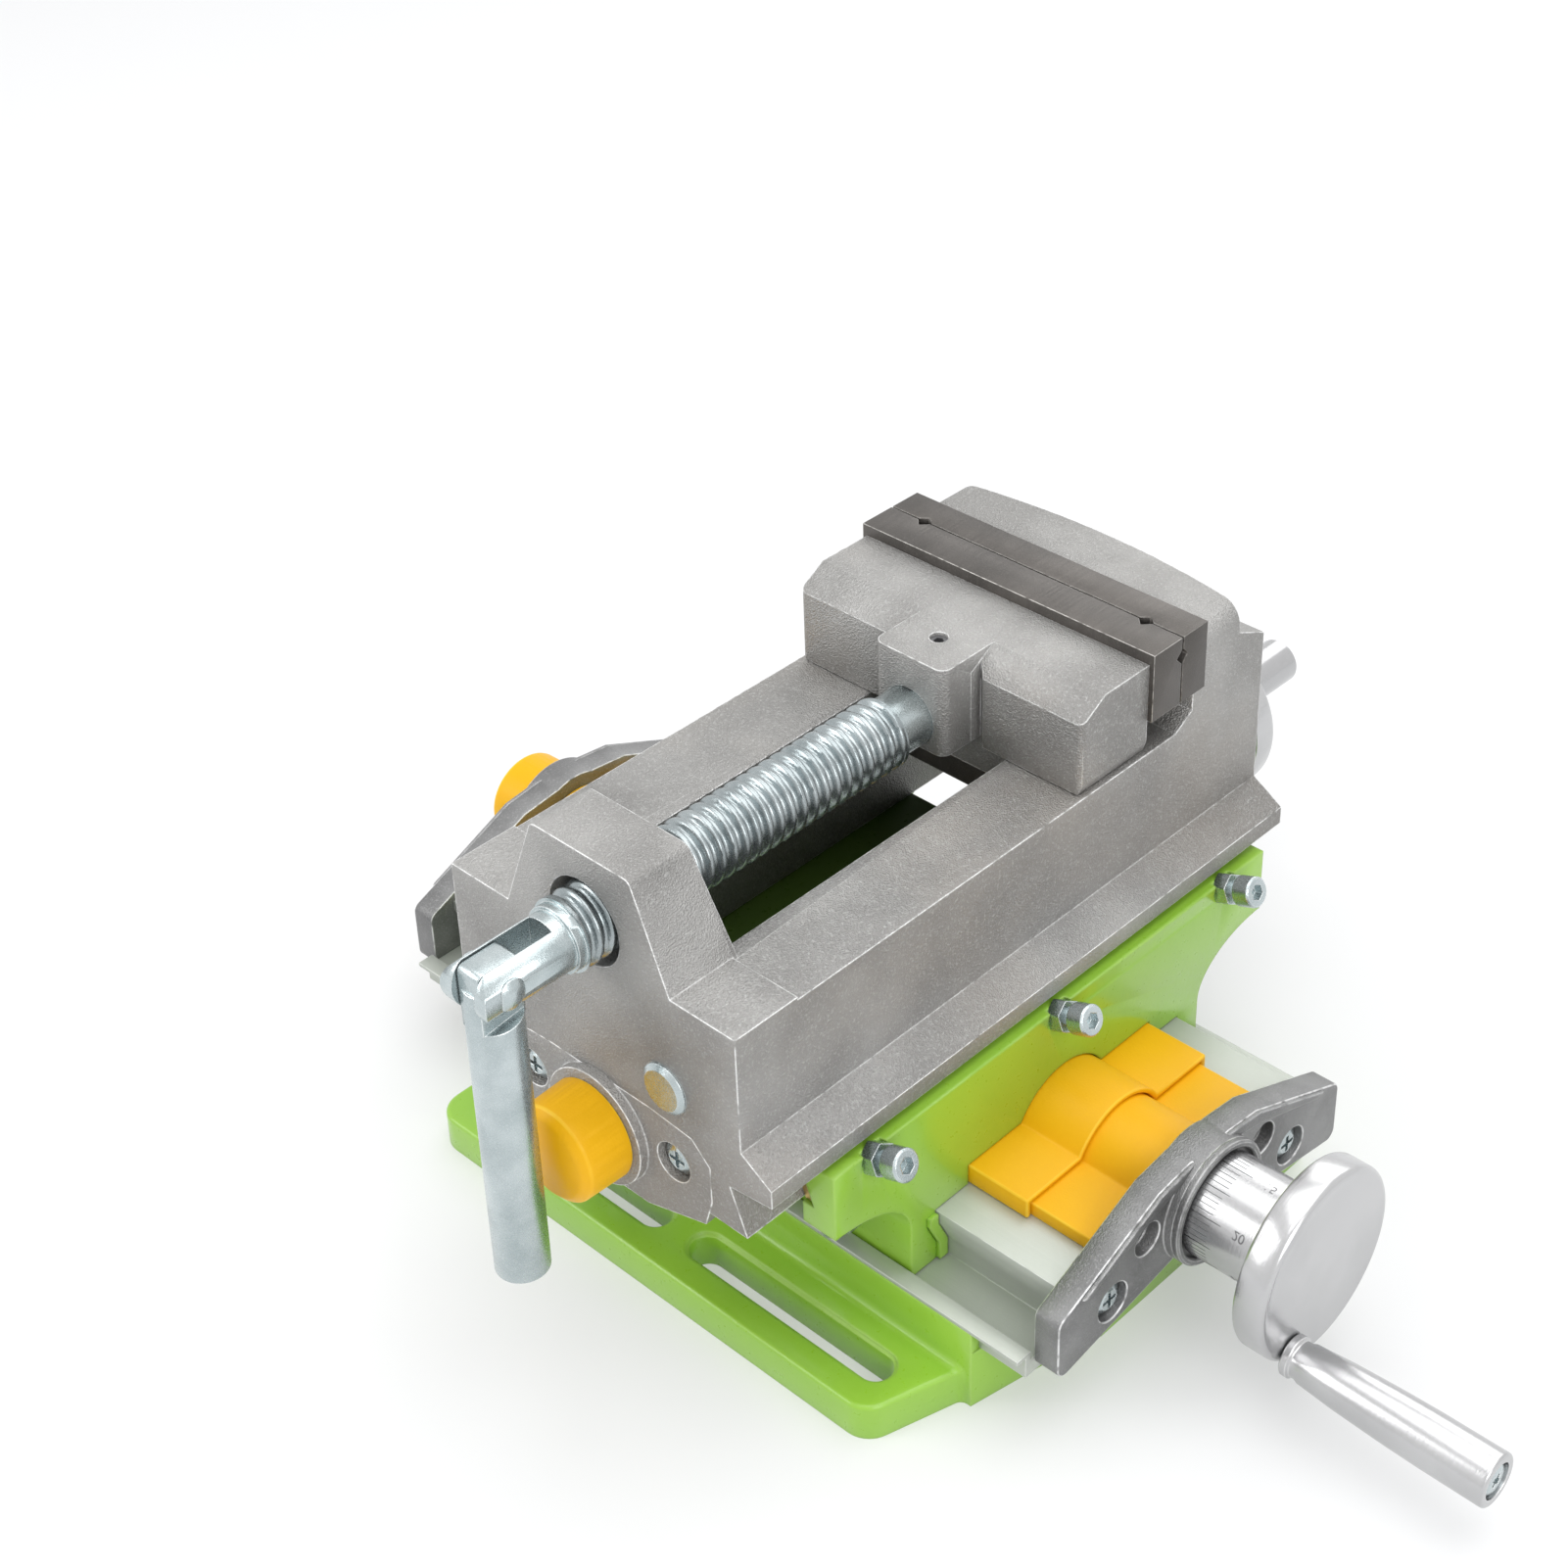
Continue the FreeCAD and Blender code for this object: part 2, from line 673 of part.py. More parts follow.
# Vise screw, lever and pin
def make_vise_screw():
    boss_end = plate_joint - jaw_opening_gap - moving_plate - 6.6
    thread = rod("y", (body_x, screw_z), (screw_thread_start, screw_thread_end), screw_radius)
    tip = rod("y", (body_x, screw_z), (screw_thread_end, boss_end), screw_tip_radius)
    fork = rod("y", (body_x, screw_z), (pin_y, screw_thread_start), fork_radius)
    nose = rod("y", (body_x, screw_z), (screw_front, pin_y), fork_radius)
    nose = nose.common(rod("x", (pin_y, screw_z), (body_x - fork_radius, body_x + fork_radius), fork_round))
    collar_span = (screw_thread_start - collar_length, screw_thread_start)
    collar = rod("y", (body_x, screw_z), collar_span, collar_radius)
    screw = thread.fuse([tip, fork, nose, collar]).removeSplitter()
    across = (body_x - fork_slot / 2, body_x + fork_slot / 2)
    screw = screw.cut(box(across, (screw_front - 1, screw_front + fork_depth), (screw_z - 12, screw_z + 12)))
    screw = screw.cut(rod("x", (pin_y, screw_z), (body_x - 12, body_x + 12), pin_radius))
    groove = rod("y", (body_x, screw_z), (set_screw_y - 2.6, set_screw_y + 2.6), screw_tip_radius + 1)
    groove = groove.cut(rod("y", (body_x, screw_z), (set_screw_y - 3, set_screw_y + 3), screw_tip_radius - 1.5))
    return screw.cut(groove)


def make_lever():
    half = tongue_width / 2
    across = (body_x - half, body_x + half)
    eye = box(across, (pin_y - eye_half, pin_y + eye_half), (tongue_low, screw_z + eye_half))
    eye = soften(eye, eye_corner, "x", lambda p: p.z > screw_z)
    bar = rod("z", (body_x, pin_y), (lever_low, screw_z), lever_radius)
    rim = [e for e in bar.Edges if e.CenterOfMass.z < lever_low + 0.1 and e.Curve.TypeId == "Part::GeomCircle"]
    bar = bar.makeChamfer(lever_chamfer, rim[:1])
    reach = lever_radius + 1
    shoulder = [(pin_y - reach, tongue_low), (pin_y - reach, screw_z + 1), (pin_y + reach, screw_z + 1),
                (pin_y + reach, tongue_low + 2)]
    for side in (-1, 1):
        beside = sorted((body_x + side * half, body_x + side * reach))
        bar = bar.cut(prism("x", shoulder, beside))
    lever = eye.fuse(bar).removeSplitter()
    return lever.cut(rod("x", (pin_y, screw_z), (body_x - reach, body_x + reach), pin_radius + 0.08))


def make_lever_pin():
    pin = rod("x", (pin_y, screw_z), (body_x - fork_radius - 0.3, body_x + fork_radius + 0.3), pin_radius)
    heads = []
    for side in (-1, 1):
        start = body_x + side * (fork_radius - 1.2)
        dome = Part.makeSphere(pin_head * 1.5, Vec(start - side * pin_head * 0.95, pin_y, screw_z))
        keep = rod("x", (pin_y, screw_z), sorted((start, start + side * 4)), pin_head)
        heads.append(dome.common(keep).cut(rod("y", (body_x, screw_z), (pin_y - 6, pin_y + 6), fork_radius)))
    return pin.fuse(heads)


# Leadscrew group, written along its own axis from the bracket outwards
def leadscrew(axis, centre, span, journal_ends):
    screw = rod(axis, centre, span, leadscrew_radius)
    tails = [rod(axis, centre, sorted((a, b)), journal_radius) for a, b in journal_ends]
    return screw.fuse(tails)


def thimble(axis, centre, start):
    outline = [(start, journal_radius), (start, thimble_radius - 0.6), (start + 0.6, thimble_radius),
               (start + thimble_length, thimble_radius), (start + thimble_length, journal_radius)]
    return turned(axis, centre, outline)


def wheel(axis, centre, start):
    end = start + wheel_width
    outline = [(start, journal_radius), (start, wheel_radius - 1), (start + 1, wheel_radius),
               (end - 1, wheel_radius), (end, wheel_radius - 1), (end, journal_radius)]
    disc = turned(axis, centre, outline)
    return disc.cut(rod(axis, grip_centre(centre), (end - 6, end + 1), grip_bolt_radius))


def grip_centre(centre):
    turn = math.radians(grip_angle)
    return (centre[0] + grip_offset * math.cos(turn), centre[1] + grip_offset * math.sin(turn))


def grip(axis, centre, start):
    end = start + grip_length
    bore = grip_bolt_radius + 0.08
    outline = [(start + 0.3, bore), (start + 0.3, grip_root + 0.6), (start + 3, grip_root), (end - 1, grip_end),
               (end, grip_end - 1.0), (end, 5.0), (end - 3, 5.0), (end - 3, bore)]
    return turned(axis, grip_centre(centre), outline)


def grip_bolt(axis, centre, start):
    end = start + grip_length
    outline = [(start - 6, 0), (start - 6, grip_bolt_radius), (end - 2.7, grip_bolt_radius), (end - 2.7, 4.4),
               (end - 1.2, 4.4), (end - 0.2, 2.6), (end - 0.2, 0)]
    return turned(axis, grip_centre(centre), outline)


def end_cap(axis, centre, start, side):
    """Plastic cap over the screw end, round and slightly domed."""
    outline = [(start, 0), (start, cap_radius), (start + side * (cap_length - 2.0), cap_radius - 0.4),
               (start + side * cap_length, cap_radius - 3.0), (start + side * cap_length, 0)]
    hollow = rod(axis, centre, sorted((start, start + side * 7.0)), journal_radius + 1.5)
    return turned(axis, centre, outline).cut(hollow)


# End bracket of the lower slide
def make_lower_bracket(side):
    inner = side * rail_half_length
    outer = inner + side * bracket_thickness
    half = [(bracket_half, bracket_end_low), (bracket_half, bracket_end_top),
            (bracket_knee, bracket_peak - bracket_knee_drop), (bracket_peak_half, bracket_peak)]
    outline = [(rail_y - bracket_low_half, bracket_middle_low), (rail_y + bracket_low_half, bracket_middle_low)]
    outline += [(rail_y + a, b) for a, b in half] + [(rail_y - a, b) for a, b in reversed(half)]
    plate = prism("x", outline, sorted((inner, outer)))
    plate = soften(plate, bracket_corner, "x", lambda p: abs(p.y - rail_y) > bracket_half - 1)
    centre = (rail_y, lower_screw_z)
    ring = rod("x", centre, sorted((inner, outer + side * ring_height)), bracket_ring)
    plate = plate.fuse(ring)
    for direction_y in (-1, 1):
        screw = (rail_y + direction_y * bracket_screw_y, bracket_screw_z)
        spare = (rail_y + direction_y * bracket_spare_y, bracket_spare_z)
        plate = plate.cut(rod("x", screw, sorted((inner, outer)), cap_screw_radius))
        sunk = sorted((outer - side * screw_seat, outer))
        plate = plate.cut(rod("x", screw, sunk, pan_head_radius + seat_clearance))
        plate = plate.cut(rod("x", spare, sorted((inner, outer)), bracket_spare_radius))
        plate = plate.cut(rod("x", spare, sunk, pan_head_radius))
    bore = sorted((inner - side, outer + side * (ring_height + 1)))
    return plate.cut(rod("x", centre, bore, journal_radius + 0.08))


def pan_screw(axis, centre, under_head, side, length):
    """Pan head screw: the head stands on under_head and points to side."""
    head_end = under_head + side * pan_head_height
    rim_end = under_head + side * pan_head_rim
    outline = [(under_head, 0), (under_head, pan_head_radius), (rim_end, pan_head_radius),
               (head_end, pan_crown_radius), (head_end, 0)]
    head = turned(axis, centre, outline)
    shank = rod(axis, centre, sorted((under_head - side * length, under_head)), cap_screw_radius)
    cross = []
    for tilt in (0, 1):
        a, b = (cross_half, cross_reach) if tilt else (cross_reach, cross_half)
        lo, hi = sorted((head_end, head_end - side * cross_depth))
        corner = place(axis, lo, centre[0] - a, centre[1] - b)
        opposite = place(axis, hi, centre[0] + a, centre[1] + b)
        cross.append(box((corner.x, opposite.x), (corner.y, opposite.y), (corner.z, opposite.z)))
    return head.fuse(shank).cut(cross)


def make_upper_bracket(inner, outer):
    side = 1 if outer > inner else -1
    plate = upper_bracket_blank(sorted((inner, outer)))
    centre = (body_x, upper_screw_z)
    ring = rod("y", centre, sorted((inner, outer + side * ring_height)), bracket_ring - 1.0)
    plate = plate.fuse(ring)
    for x in (-upper_bolt_x, upper_bolt_x):
        bolt = (body_x + x, upper_bolt_z)
        plate = plate.cut(rod("y", bolt, sorted((inner, outer)), cap_screw_radius))
        sunk = sorted((outer - side * screw_seat, outer))
        plate = plate.cut(rod("y", bolt, sunk, pan_head_radius + seat_clearance))
    bore = sorted((inner - side, outer + side * (ring_height + 1)))
    return plate.cut(rod("y", centre, bore, journal_radius + 0.08))


# Write every piece
base = make_base()
save("base", base)
save("rail", make_rail())

for side, word in ((1, "right"), (-1, "left")):
    save("end_bracket_" + word, make_lower_bracket(side))
    seat = side * (rail_half_length + bracket_thickness - screw_seat)
    places = [(rail_y + y, bracket_screw_z) for y in (-bracket_screw_y, bracket_screw_y)]
    save("bracket_screws_" + word, *[pan_screw("x", p, seat, side, bracket_screw_length) for p in places])
    outer_end = rail_half_length - cover_outer_gap
    outer_span = sorted((side * (outer_end - cover_outer_length), side * outer_end))
    shift = saddle_x / 2
    outer_span = [v + shift for v in outer_span]
    save("outer_cover_" + word, make_cover(0.0, rail_crown + 0.3, outer_span))
    inner_span = sorted((side * (rail_half_length - cover_inner_length), side * rail_half_length))
    save("inner_cover_" + word, make_cover(cover_nest, rail_crown, inner_span))

lower_centre = (rail_y, lower_screw_z)
screw_reach = rail_half_length - air_gap
ring_face = rail_half_length + bracket_thickness + ring_height
thimble_start = ring_face + air_gap
wheel_start = thimble_start + thimble_length
wheel_end = wheel_start + wheel_width
journals = [(-ring_face - 4, -screw_reach), (screw_reach, wheel_end)]
save("lower_leadscrew", leadscrew("x", lower_centre, (-screw_reach, screw_reach), journals))
save("lower_thimble", thimble("x", lower_centre, thimble_start))
save("lower_handwheel", wheel("x", lower_centre, wheel_start))
save("lower_grip", grip("x", lower_centre, wheel_end))
save("lower_grip_bolt", grip_bolt("x", lower_centre, wheel_end))
save("lower_end_cap", end_cap("x", lower_centre, -ring_face, -1))

save("saddle", make_saddle())
nut_span = (saddle_x - nut_length / 2, saddle_x + nut_length / 2)
nut = cover_body(-0.4, rail_crown + air_gap, nut_span)
nut = nut.common(box(nut_span, (rail_y - lower_nut_half, rail_y + lower_nut_half),
                     (rail_crown - lower_nut_depth, cover_top + 1)))
nut = nut.cut(rod("x", lower_centre, nut_span, leadscrew_radius + 0.08))
save("lower_leadscrew_nut", nut)
save("upper_gib", make_upper_gib())
save("lower_gib", make_lower_gib())
gib_face = body_x + trough_half(gib_screw_z, slide_gap / flank_slope + gib_thickness / flank_slope)
gib_reach = (saddle_right - gib_face) * 0.932 - 0.02
upper_screws = []
upper_nuts = []
for y in gib_screw_rows():
    centre = (y, gib_screw_z)
    screw = cap_screw("x", centre, saddle_right - gib_reach, saddle_right + gib_head_start)
    upper_screws.append(tilted(y, screw))
    nut_from = saddle_right - gib_nut_sunk
    upper_nuts.append(tilted(y, hex_nut("x", centre, (nut_from, nut_from + gib_nut_length))))
foot_face = rail_y - saddle_foot_half
gib_back = rail_y - rail_crown_half - gib_thickness
lower_places = [(x, lower_gib_z) for x in lower_gib_screw_columns()]
lower_gib_screw_end = foot_face - lower_gib_screw_out
lower_screws = [socket_screw("y", p, gib_back, lower_gib_screw_end, gib_screw_radius) for p in lower_places]
lower_nuts = [hex_nut("y", p, (foot_face - gib_nut_length, foot_face)) for p in lower_places]
save("upper_gib_screws", *upper_screws)
save("upper_gib_nuts", *upper_nuts)
save("lower_gib_screws", *lower_screws)
save("lower_gib_nuts", *lower_nuts)

upper_centre = (body_x, upper_screw_z)
nut_span = (rail_y - nut_length / 2, rail_y + nut_length / 2)
nut_block = box((body_x - upper_nut_half, body_x + upper_nut_half), nut_span,
                (saddle_floor, upper_screw_z + upper_nut_rise))
nut_block = soften(nut_block, upper_nut_corner, "y", lambda p: p.z > upper_screw_z)
nut_block = nut_block.cut(rod("y", upper_centre, nut_span, leadscrew_radius + 0.08))
save("upper_leadscrew_nut", nut_block)

save("vise_body", make_vise_body())
plug_face = bed_front - plug_proud
plug_outline = [(bed_front + plug_depth, 0), (bed_front + plug_depth, plug_radius),
                (bed_front - plug_rim, plug_radius), (plug_face, plug_radius - plug_proud), (plug_face, 0)]
save("body_plug", turned("y", plug_place(), plug_outline))

front_outer = bed_front
save("front_bracket", make_upper_bracket(front_outer + bracket_thickness, front_outer))
rear_outer = bed_back + bracket_thickness
save("rear_bracket", make_upper_bracket(bed_back, rear_outer))
for word, seat, side in (("front", front_outer + screw_seat, -1), ("rear", rear_outer - screw_seat, 1)):
    places = [(body_x + x, upper_bolt_z) for x in (-upper_bolt_x, upper_bolt_x)]
    save(word + "_bracket_screws", *[pan_screw("y", p, seat, side, upper_bracket_screw_length) for p in places])
front_ring = front_outer - ring_height
rear_ring = rear_outer + ring_height
save("front_end_cap", end_cap("y", upper_centre, front_ring, -1))
upper_thimble = rear_ring + air_gap
upper_wheel = upper_thimble + thimble_length
upper_end = upper_wheel + wheel_width
screw_from = bed_front + bracket_thickness + air_gap
screw_to = bed_back - air_gap
journals = [(front_ring - 4, screw_from), (screw_to, upper_end)]
save("upper_leadscrew", leadscrew("y", upper_centre, (screw_from, screw_to), journals))
save("upper_thimble", thimble("y", upper_centre, upper_thimble))
save("upper_handwheel", wheel("y", upper_centre, upper_wheel))
save("upper_grip", grip("y", upper_centre, upper_end))
save("upper_grip_bolt", grip_bolt("y", upper_centre, upper_end))

save("movable_jaw", make_movable_jaw())
moving_face = plate_joint - jaw_opening_gap
moving_front = moving_face - moving_plate
save("movable_jaw_plate", make_plate(moving_front, moving_face, moving_face))
save("fixed_jaw_plate", make_plate(plate_joint, plate_joint + fixed_plate, plate_joint))
moving_screws = []
fixed_screws = []
for side in (-1, 1):
    centre = (body_x + side * bolt_column, plate_bolt_z)
    moving_screws.append(plate_screw(centre, moving_face - plate_sink, 1, moving_front - 13))
    fixed_screws.append(plate_screw(centre, plate_joint + plate_sink, -1, plate_joint + fixed_plate + 12))
save("movable_plate_screws", *moving_screws)
save("fixed_plate_screws", *fixed_screws)

deck_low = bed_top - deck_thickness
keeper_top = deck_low - air_gap
keeper_low = keeper_top - keeper_thickness
keeper_across = (body_x - keeper_half, body_x + keeper_half)
keeper = box(keeper_across, (jaw_front + 4, moving_front - 2), (keeper_low, keeper_top))
keeper_bolts = []
for x in (-bolt_column * keeper_bolt_ratio, bolt_column * keeper_bolt_ratio):
    centre = (body_x + x, keeper_bolt_y)
    keeper = keeper.cut(rod("z", centre, (keeper_low, keeper_top), cap_screw_radius))
    keeper_bolts.append(pan_screw("z", centre, keeper_low, -1, 17.0))
save("keeper_plate", keeper)
save("keeper_screws", *keeper_bolts)
set_screw_span = (screw_z + screw_tip_radius - 1.2, bed_top + jaw_height - 1.0)
save("jaw_set_screw", socket_screw("z", (body_x, set_screw_y), *set_screw_span, cap_screw_radius))
save("vise_screw", make_vise_screw())
save("lever", make_lever())
save("lever_pin", make_lever_pin())
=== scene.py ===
import bpy
import bmesh
import json
import math
from mathutils import Matrix, Vector


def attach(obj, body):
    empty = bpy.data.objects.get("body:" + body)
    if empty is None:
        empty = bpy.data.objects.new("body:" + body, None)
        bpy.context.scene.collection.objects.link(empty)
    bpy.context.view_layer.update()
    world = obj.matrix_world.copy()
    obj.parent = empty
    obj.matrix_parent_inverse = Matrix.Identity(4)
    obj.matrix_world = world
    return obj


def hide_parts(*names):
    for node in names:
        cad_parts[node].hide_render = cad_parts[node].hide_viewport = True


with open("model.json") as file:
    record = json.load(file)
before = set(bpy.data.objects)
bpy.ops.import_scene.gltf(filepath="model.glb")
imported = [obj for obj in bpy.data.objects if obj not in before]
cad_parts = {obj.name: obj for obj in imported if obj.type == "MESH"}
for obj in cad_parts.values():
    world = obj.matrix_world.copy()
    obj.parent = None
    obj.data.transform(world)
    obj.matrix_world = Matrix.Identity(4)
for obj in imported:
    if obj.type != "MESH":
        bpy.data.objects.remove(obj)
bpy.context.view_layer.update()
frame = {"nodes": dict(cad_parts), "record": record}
print("stage: frame loaded")

mm = 0.001

cameraSettings = {
    "place": (412.03, -415.33, 540.62),  # mm
    "right": (0.726467, 0.68679, -0.023771),
    "up": (-0.354225, 0.403882, 0.843447),
    "back": (0.588872, -0.604317, 0.536686),
    "lens": 64.06,
    "sensor": 36.0,
    "shift": (-0.0294, -0.1085),
    "near": 0.05,
}


def addCamera(s):
    data = bpy.data.cameras.new("viewCamera")
    data.sensor_width = s["sensor"]
    data.lens = s["lens"]
    data.shift_x, data.shift_y = s["shift"]
    data.clip_start = s["near"]
    cam = bpy.data.objects.new("viewCamera", data)
    bpy.context.collection.objects.link(cam)
    turn = Matrix((s["right"], s["up"], s["back"])).transposed().to_4x4()
    cam.matrix_world = Matrix.Translation(Vector(s["place"]) * mm) @ turn
    bpy.context.scene.camera = cam


addCamera(cameraSettings)
scene = bpy.context.scene
scene.view_settings.view_transform = "Standard"


def newMaterial(name):
    mat = bpy.data.materials.new(name)
    mat.use_nodes = True
    tree = mat.node_tree
    shader = tree.nodes["Principled BSDF"]
    return mat, tree, shader


def addNode(tree, kind, **values):
    node = tree.nodes.new(kind)
    for key, value in values.items():
        setattr(node, key, value)
    return node


def wire(tree, source, target):
    tree.links.new(source, target)


def seesBackground(tree):
    path = addNode(tree, "ShaderNodeLightPath")
    total = path.outputs["Is Camera Ray"]
    for label in ("Is Glossy Ray", "Is Transmission Ray"):
        both = addNode(tree, "ShaderNodeMath", operation="MAXIMUM")
        wire(tree, total, both.inputs[0])
        wire(tree, path.outputs[label], both.inputs[1])
        total = both.outputs[0]
    return total


floorSettings = {
    "size": 6.0, "height": 0.0, "colour": (0.86, 0.86, 0.86, 1.0), "roughness": 0.9,
    "glow": 0.35,  # share of plain white where the view sees the floor
}


def addFloor(s):
    bpy.ops.mesh.primitive_plane_add(size=s["size"], location=(0, 0, s["height"]))
    floor = bpy.context.object
    floor.name = "paleFloor"
    mat, tree, shader = newMaterial("paleFloor")
    shader.inputs["Base Color"].default_value = s["colour"]
    shader.inputs["Roughness"].default_value = s["roughness"]
    glow = addNode(tree, "ShaderNodeEmission")
    glow.inputs["Color"].default_value = (1, 1, 1, 1)
    glow.inputs["Strength"].default_value = 1.0
    mix = addNode(tree, "ShaderNodeMixShader")
    mix.inputs["Fac"].default_value = s["glow"]
    wire(tree, shader.outputs[0], mix.inputs[1])
    wire(tree, glow.outputs[0], mix.inputs[2])
    pick = addNode(tree, "ShaderNodeMixShader")
    wire(tree, seesBackground(tree), pick.inputs["Fac"])
    wire(tree, shader.outputs[0], pick.inputs[1])
    wire(tree, mix.outputs[0], pick.inputs[2])
    wire(tree, pick.outputs[0], tree.nodes["Material Output"].inputs["Surface"])
    floor.data.materials.append(mat)


addFloor(floorSettings)

lampSettings = {
    "overhead": {"place": (0.1, 0.1, 1.5), "size": 1.6, "power": 14.0},
    "frontLeft": {"place": (-0.9, -1.1, 0.9), "size": 0.9, "power": 9.0},
    "frontRight": {"place": (1.3, -0.5, 0.8), "size": 0.8, "power": 6.8},
    "rear": {"place": (-0.4, 1.4, 1.0), "size": 1.0, "power": 6.0},
    "aim": (0.0, 0.0, 0.07),
    "world": {"colour": (0.95, 0.97, 1.0, 1), "strength": 0.55},
}


def addLamps(s):
    for name in ("overhead", "frontLeft", "frontRight", "rear"):
        lamp = s[name]
        data = bpy.data.lights.new(name, "AREA")
        data.shape = "SQUARE"
        data.size = lamp["size"]
        data.energy = lamp["power"]
        obj = bpy.data.objects.new(name, data)
        bpy.context.collection.objects.link(obj)
        obj.location = lamp["place"]
        aim = Vector(s["aim"]) - obj.location
        obj.rotation_euler = aim.to_track_quat("-Z", "Y").to_euler()
    world = bpy.data.worlds.new("studioWorld")
    scene.world = world
    world.use_nodes = True
    tree = world.node_tree
    soft = tree.nodes["Background"]
    soft.inputs["Color"].default_value = s["world"]["colour"]
    soft.inputs["Strength"].default_value = s["world"]["strength"]
    white = addNode(tree, "ShaderNodeBackground")
    white.inputs["Color"].default_value = (1, 1, 1, 1)
    mix = addNode(tree, "ShaderNodeMixShader")
    wire(tree, seesBackground(tree), mix.inputs["Fac"])
    wire(tree, soft.outputs[0], mix.inputs[1])
    wire(tree, white.outputs[0], mix.inputs[2])
    wire(tree, mix.outputs[0], tree.nodes["World Output"].inputs["Surface"])


addLamps(lampSettings)
print("stage: view, floor and lamps")


# shader groups that several finishes share
floatSocket = "NodeSocketFloat"


def newGroup(name, inputs, outputs):
    group = bpy.data.node_groups.new(name, "ShaderNodeTree")
    for label, kind, value in inputs:
        socket = group.interface.new_socket(label, in_out="INPUT", socket_type=kind)
        socket.default_value = value
    for label, kind in outputs:
        group.interface.new_socket(label, in_out="OUTPUT", socket_type=kind)
    return group, addNode(group, "NodeGroupInput"), addNode(group, "NodeGroupOutput")


def mapRange(tree, value, band, goal=(0.0, 1.0)):
    node = addNode(tree, "ShaderNodeMapRange", clamp=True)
    for label, edge in zip(("From Min", "From Max", "To Min", "To Max"), band + goal):
        node.inputs[label].default_value = edge
    wire(tree, value, node.inputs["Value"])
    return node.outputs[0]


wearAndHighlightSettings = {"samples": 6, "bend": (0.995, 0.9), "patches": (0.3, 0.52), "detail": 4.0}
grainSettings = {"detail": 3.0, "roughness": 0.7, "pits": 1.7, "blotchDetail": 5.0}
streakDetail = 4.0


# worn edges and painted highlight: lighter where the surface bends sharply or a face is marked, broken up
# by noise
def makeEdgeWearAndHighlight():
    inputs = [("Radius", floatSocket, 0.0008), ("Break", floatSocket, 400.0),
              ("Amount", floatSocket, 1.0)]
    outputs = [("Mask", floatSocket), ("Normal", "NodeSocketVector")]
    group, into, out = newGroup("edgeWearAndHighlight", inputs, outputs)
    bevel = addNode(group, "ShaderNodeBevel", samples=wearAndHighlightSettings["samples"])
    wire(group, into.outputs["Radius"], bevel.inputs["Radius"])
    geometry = addNode(group, "ShaderNodeNewGeometry")
    dot = addNode(group, "ShaderNodeVectorMath", operation="DOT_PRODUCT")
    wire(group, bevel.outputs["Normal"], dot.inputs[0])
    wire(group, geometry.outputs["Normal"], dot.inputs[1])
    bend = mapRange(group, dot.outputs["Value"], wearAndHighlightSettings["bend"])
    where = addNode(group, "ShaderNodeTexCoord")
    noise = addNode(group, "ShaderNodeTexNoise")
    noise.inputs["Detail"].default_value = wearAndHighlightSettings["detail"]
    wire(group, where.outputs["Object"], noise.inputs["Vector"])
    wire(group, into.outputs["Break"], noise.inputs["Scale"])
    patches = mapRange(group, noise.outputs["Fac"], wearAndHighlightSettings["patches"])
    wornAndHighlightEdge = addNode(group, "ShaderNodeAttribute", attribute_name="wornAndHighlightEdge")
    either = addNode(group, "ShaderNodeMath", operation="MAXIMUM")
    wire(group, bend, either.inputs[0])
    wire(group, wornAndHighlightEdge.outputs["Fac"], either.inputs[1])
    both = addNode(group, "ShaderNodeMath", operation="MULTIPLY")
    wire(group, either.outputs[0], both.inputs[0])
    wire(group, patches, both.inputs[1])
    scaled = addNode(group, "ShaderNodeMath", operation="MULTIPLY", use_clamp=True)
    wire(group, both.outputs[0], scaled.inputs[0])
    wire(group, into.outputs["Amount"], scaled.inputs[1])
    wire(group, scaled.outputs[0], out.inputs["Mask"])
    wire(group, bevel.outputs["Normal"], out.inputs["Normal"])
    return group


def makeCastGrain():
    inputs = [("Scale", floatSocket, 900.0), ("Blotch Scale", floatSocket, 25.0)]
    outputs = [(label, floatSocket) for label in ("Speckle", "Blotch", "Height")]
    group, into, out = newGroup("castGrain", inputs, outputs)
    where = addNode(group, "ShaderNodeTexCoord")
    fine = addNode(group, "ShaderNodeTexNoise")
    fine.inputs["Detail"].default_value = grainSettings["detail"]
    fine.inputs["Roughness"].default_value = grainSettings["roughness"]
    wire(group, where.outputs["Object"], fine.inputs["Vector"])
    wire(group, into.outputs["Scale"], fine.inputs["Scale"])
    pits = addNode(group, "ShaderNodeTexVoronoi")
    finer = addNode(group, "ShaderNodeMath", operation="MULTIPLY")
    finer.inputs[1].default_value = grainSettings["pits"]
    wire(group, into.outputs["Scale"], finer.inputs[0])
    wire(group, finer.outputs[0], pits.inputs["Scale"])
    wire(group, where.outputs["Object"], pits.inputs["Vector"])
    soft = addNode(group, "ShaderNodeTexNoise")
    soft.inputs["Detail"].default_value = grainSettings["blotchDetail"]
    wire(group, where.outputs["Object"], soft.inputs["Vector"])
    wire(group, into.outputs["Blotch Scale"], soft.inputs["Scale"])
    total = addNode(group, "ShaderNodeMath", operation="ADD")
    wire(group, fine.outputs["Fac"], total.inputs[0])
    wire(group, pits.outputs["Distance"], total.inputs[1])
    wire(group, fine.outputs["Fac"], out.inputs["Speckle"])
    wire(group, soft.outputs["Fac"], out.inputs["Blotch"])
    wire(group, total.outputs[0], out.inputs["Height"])
    return group


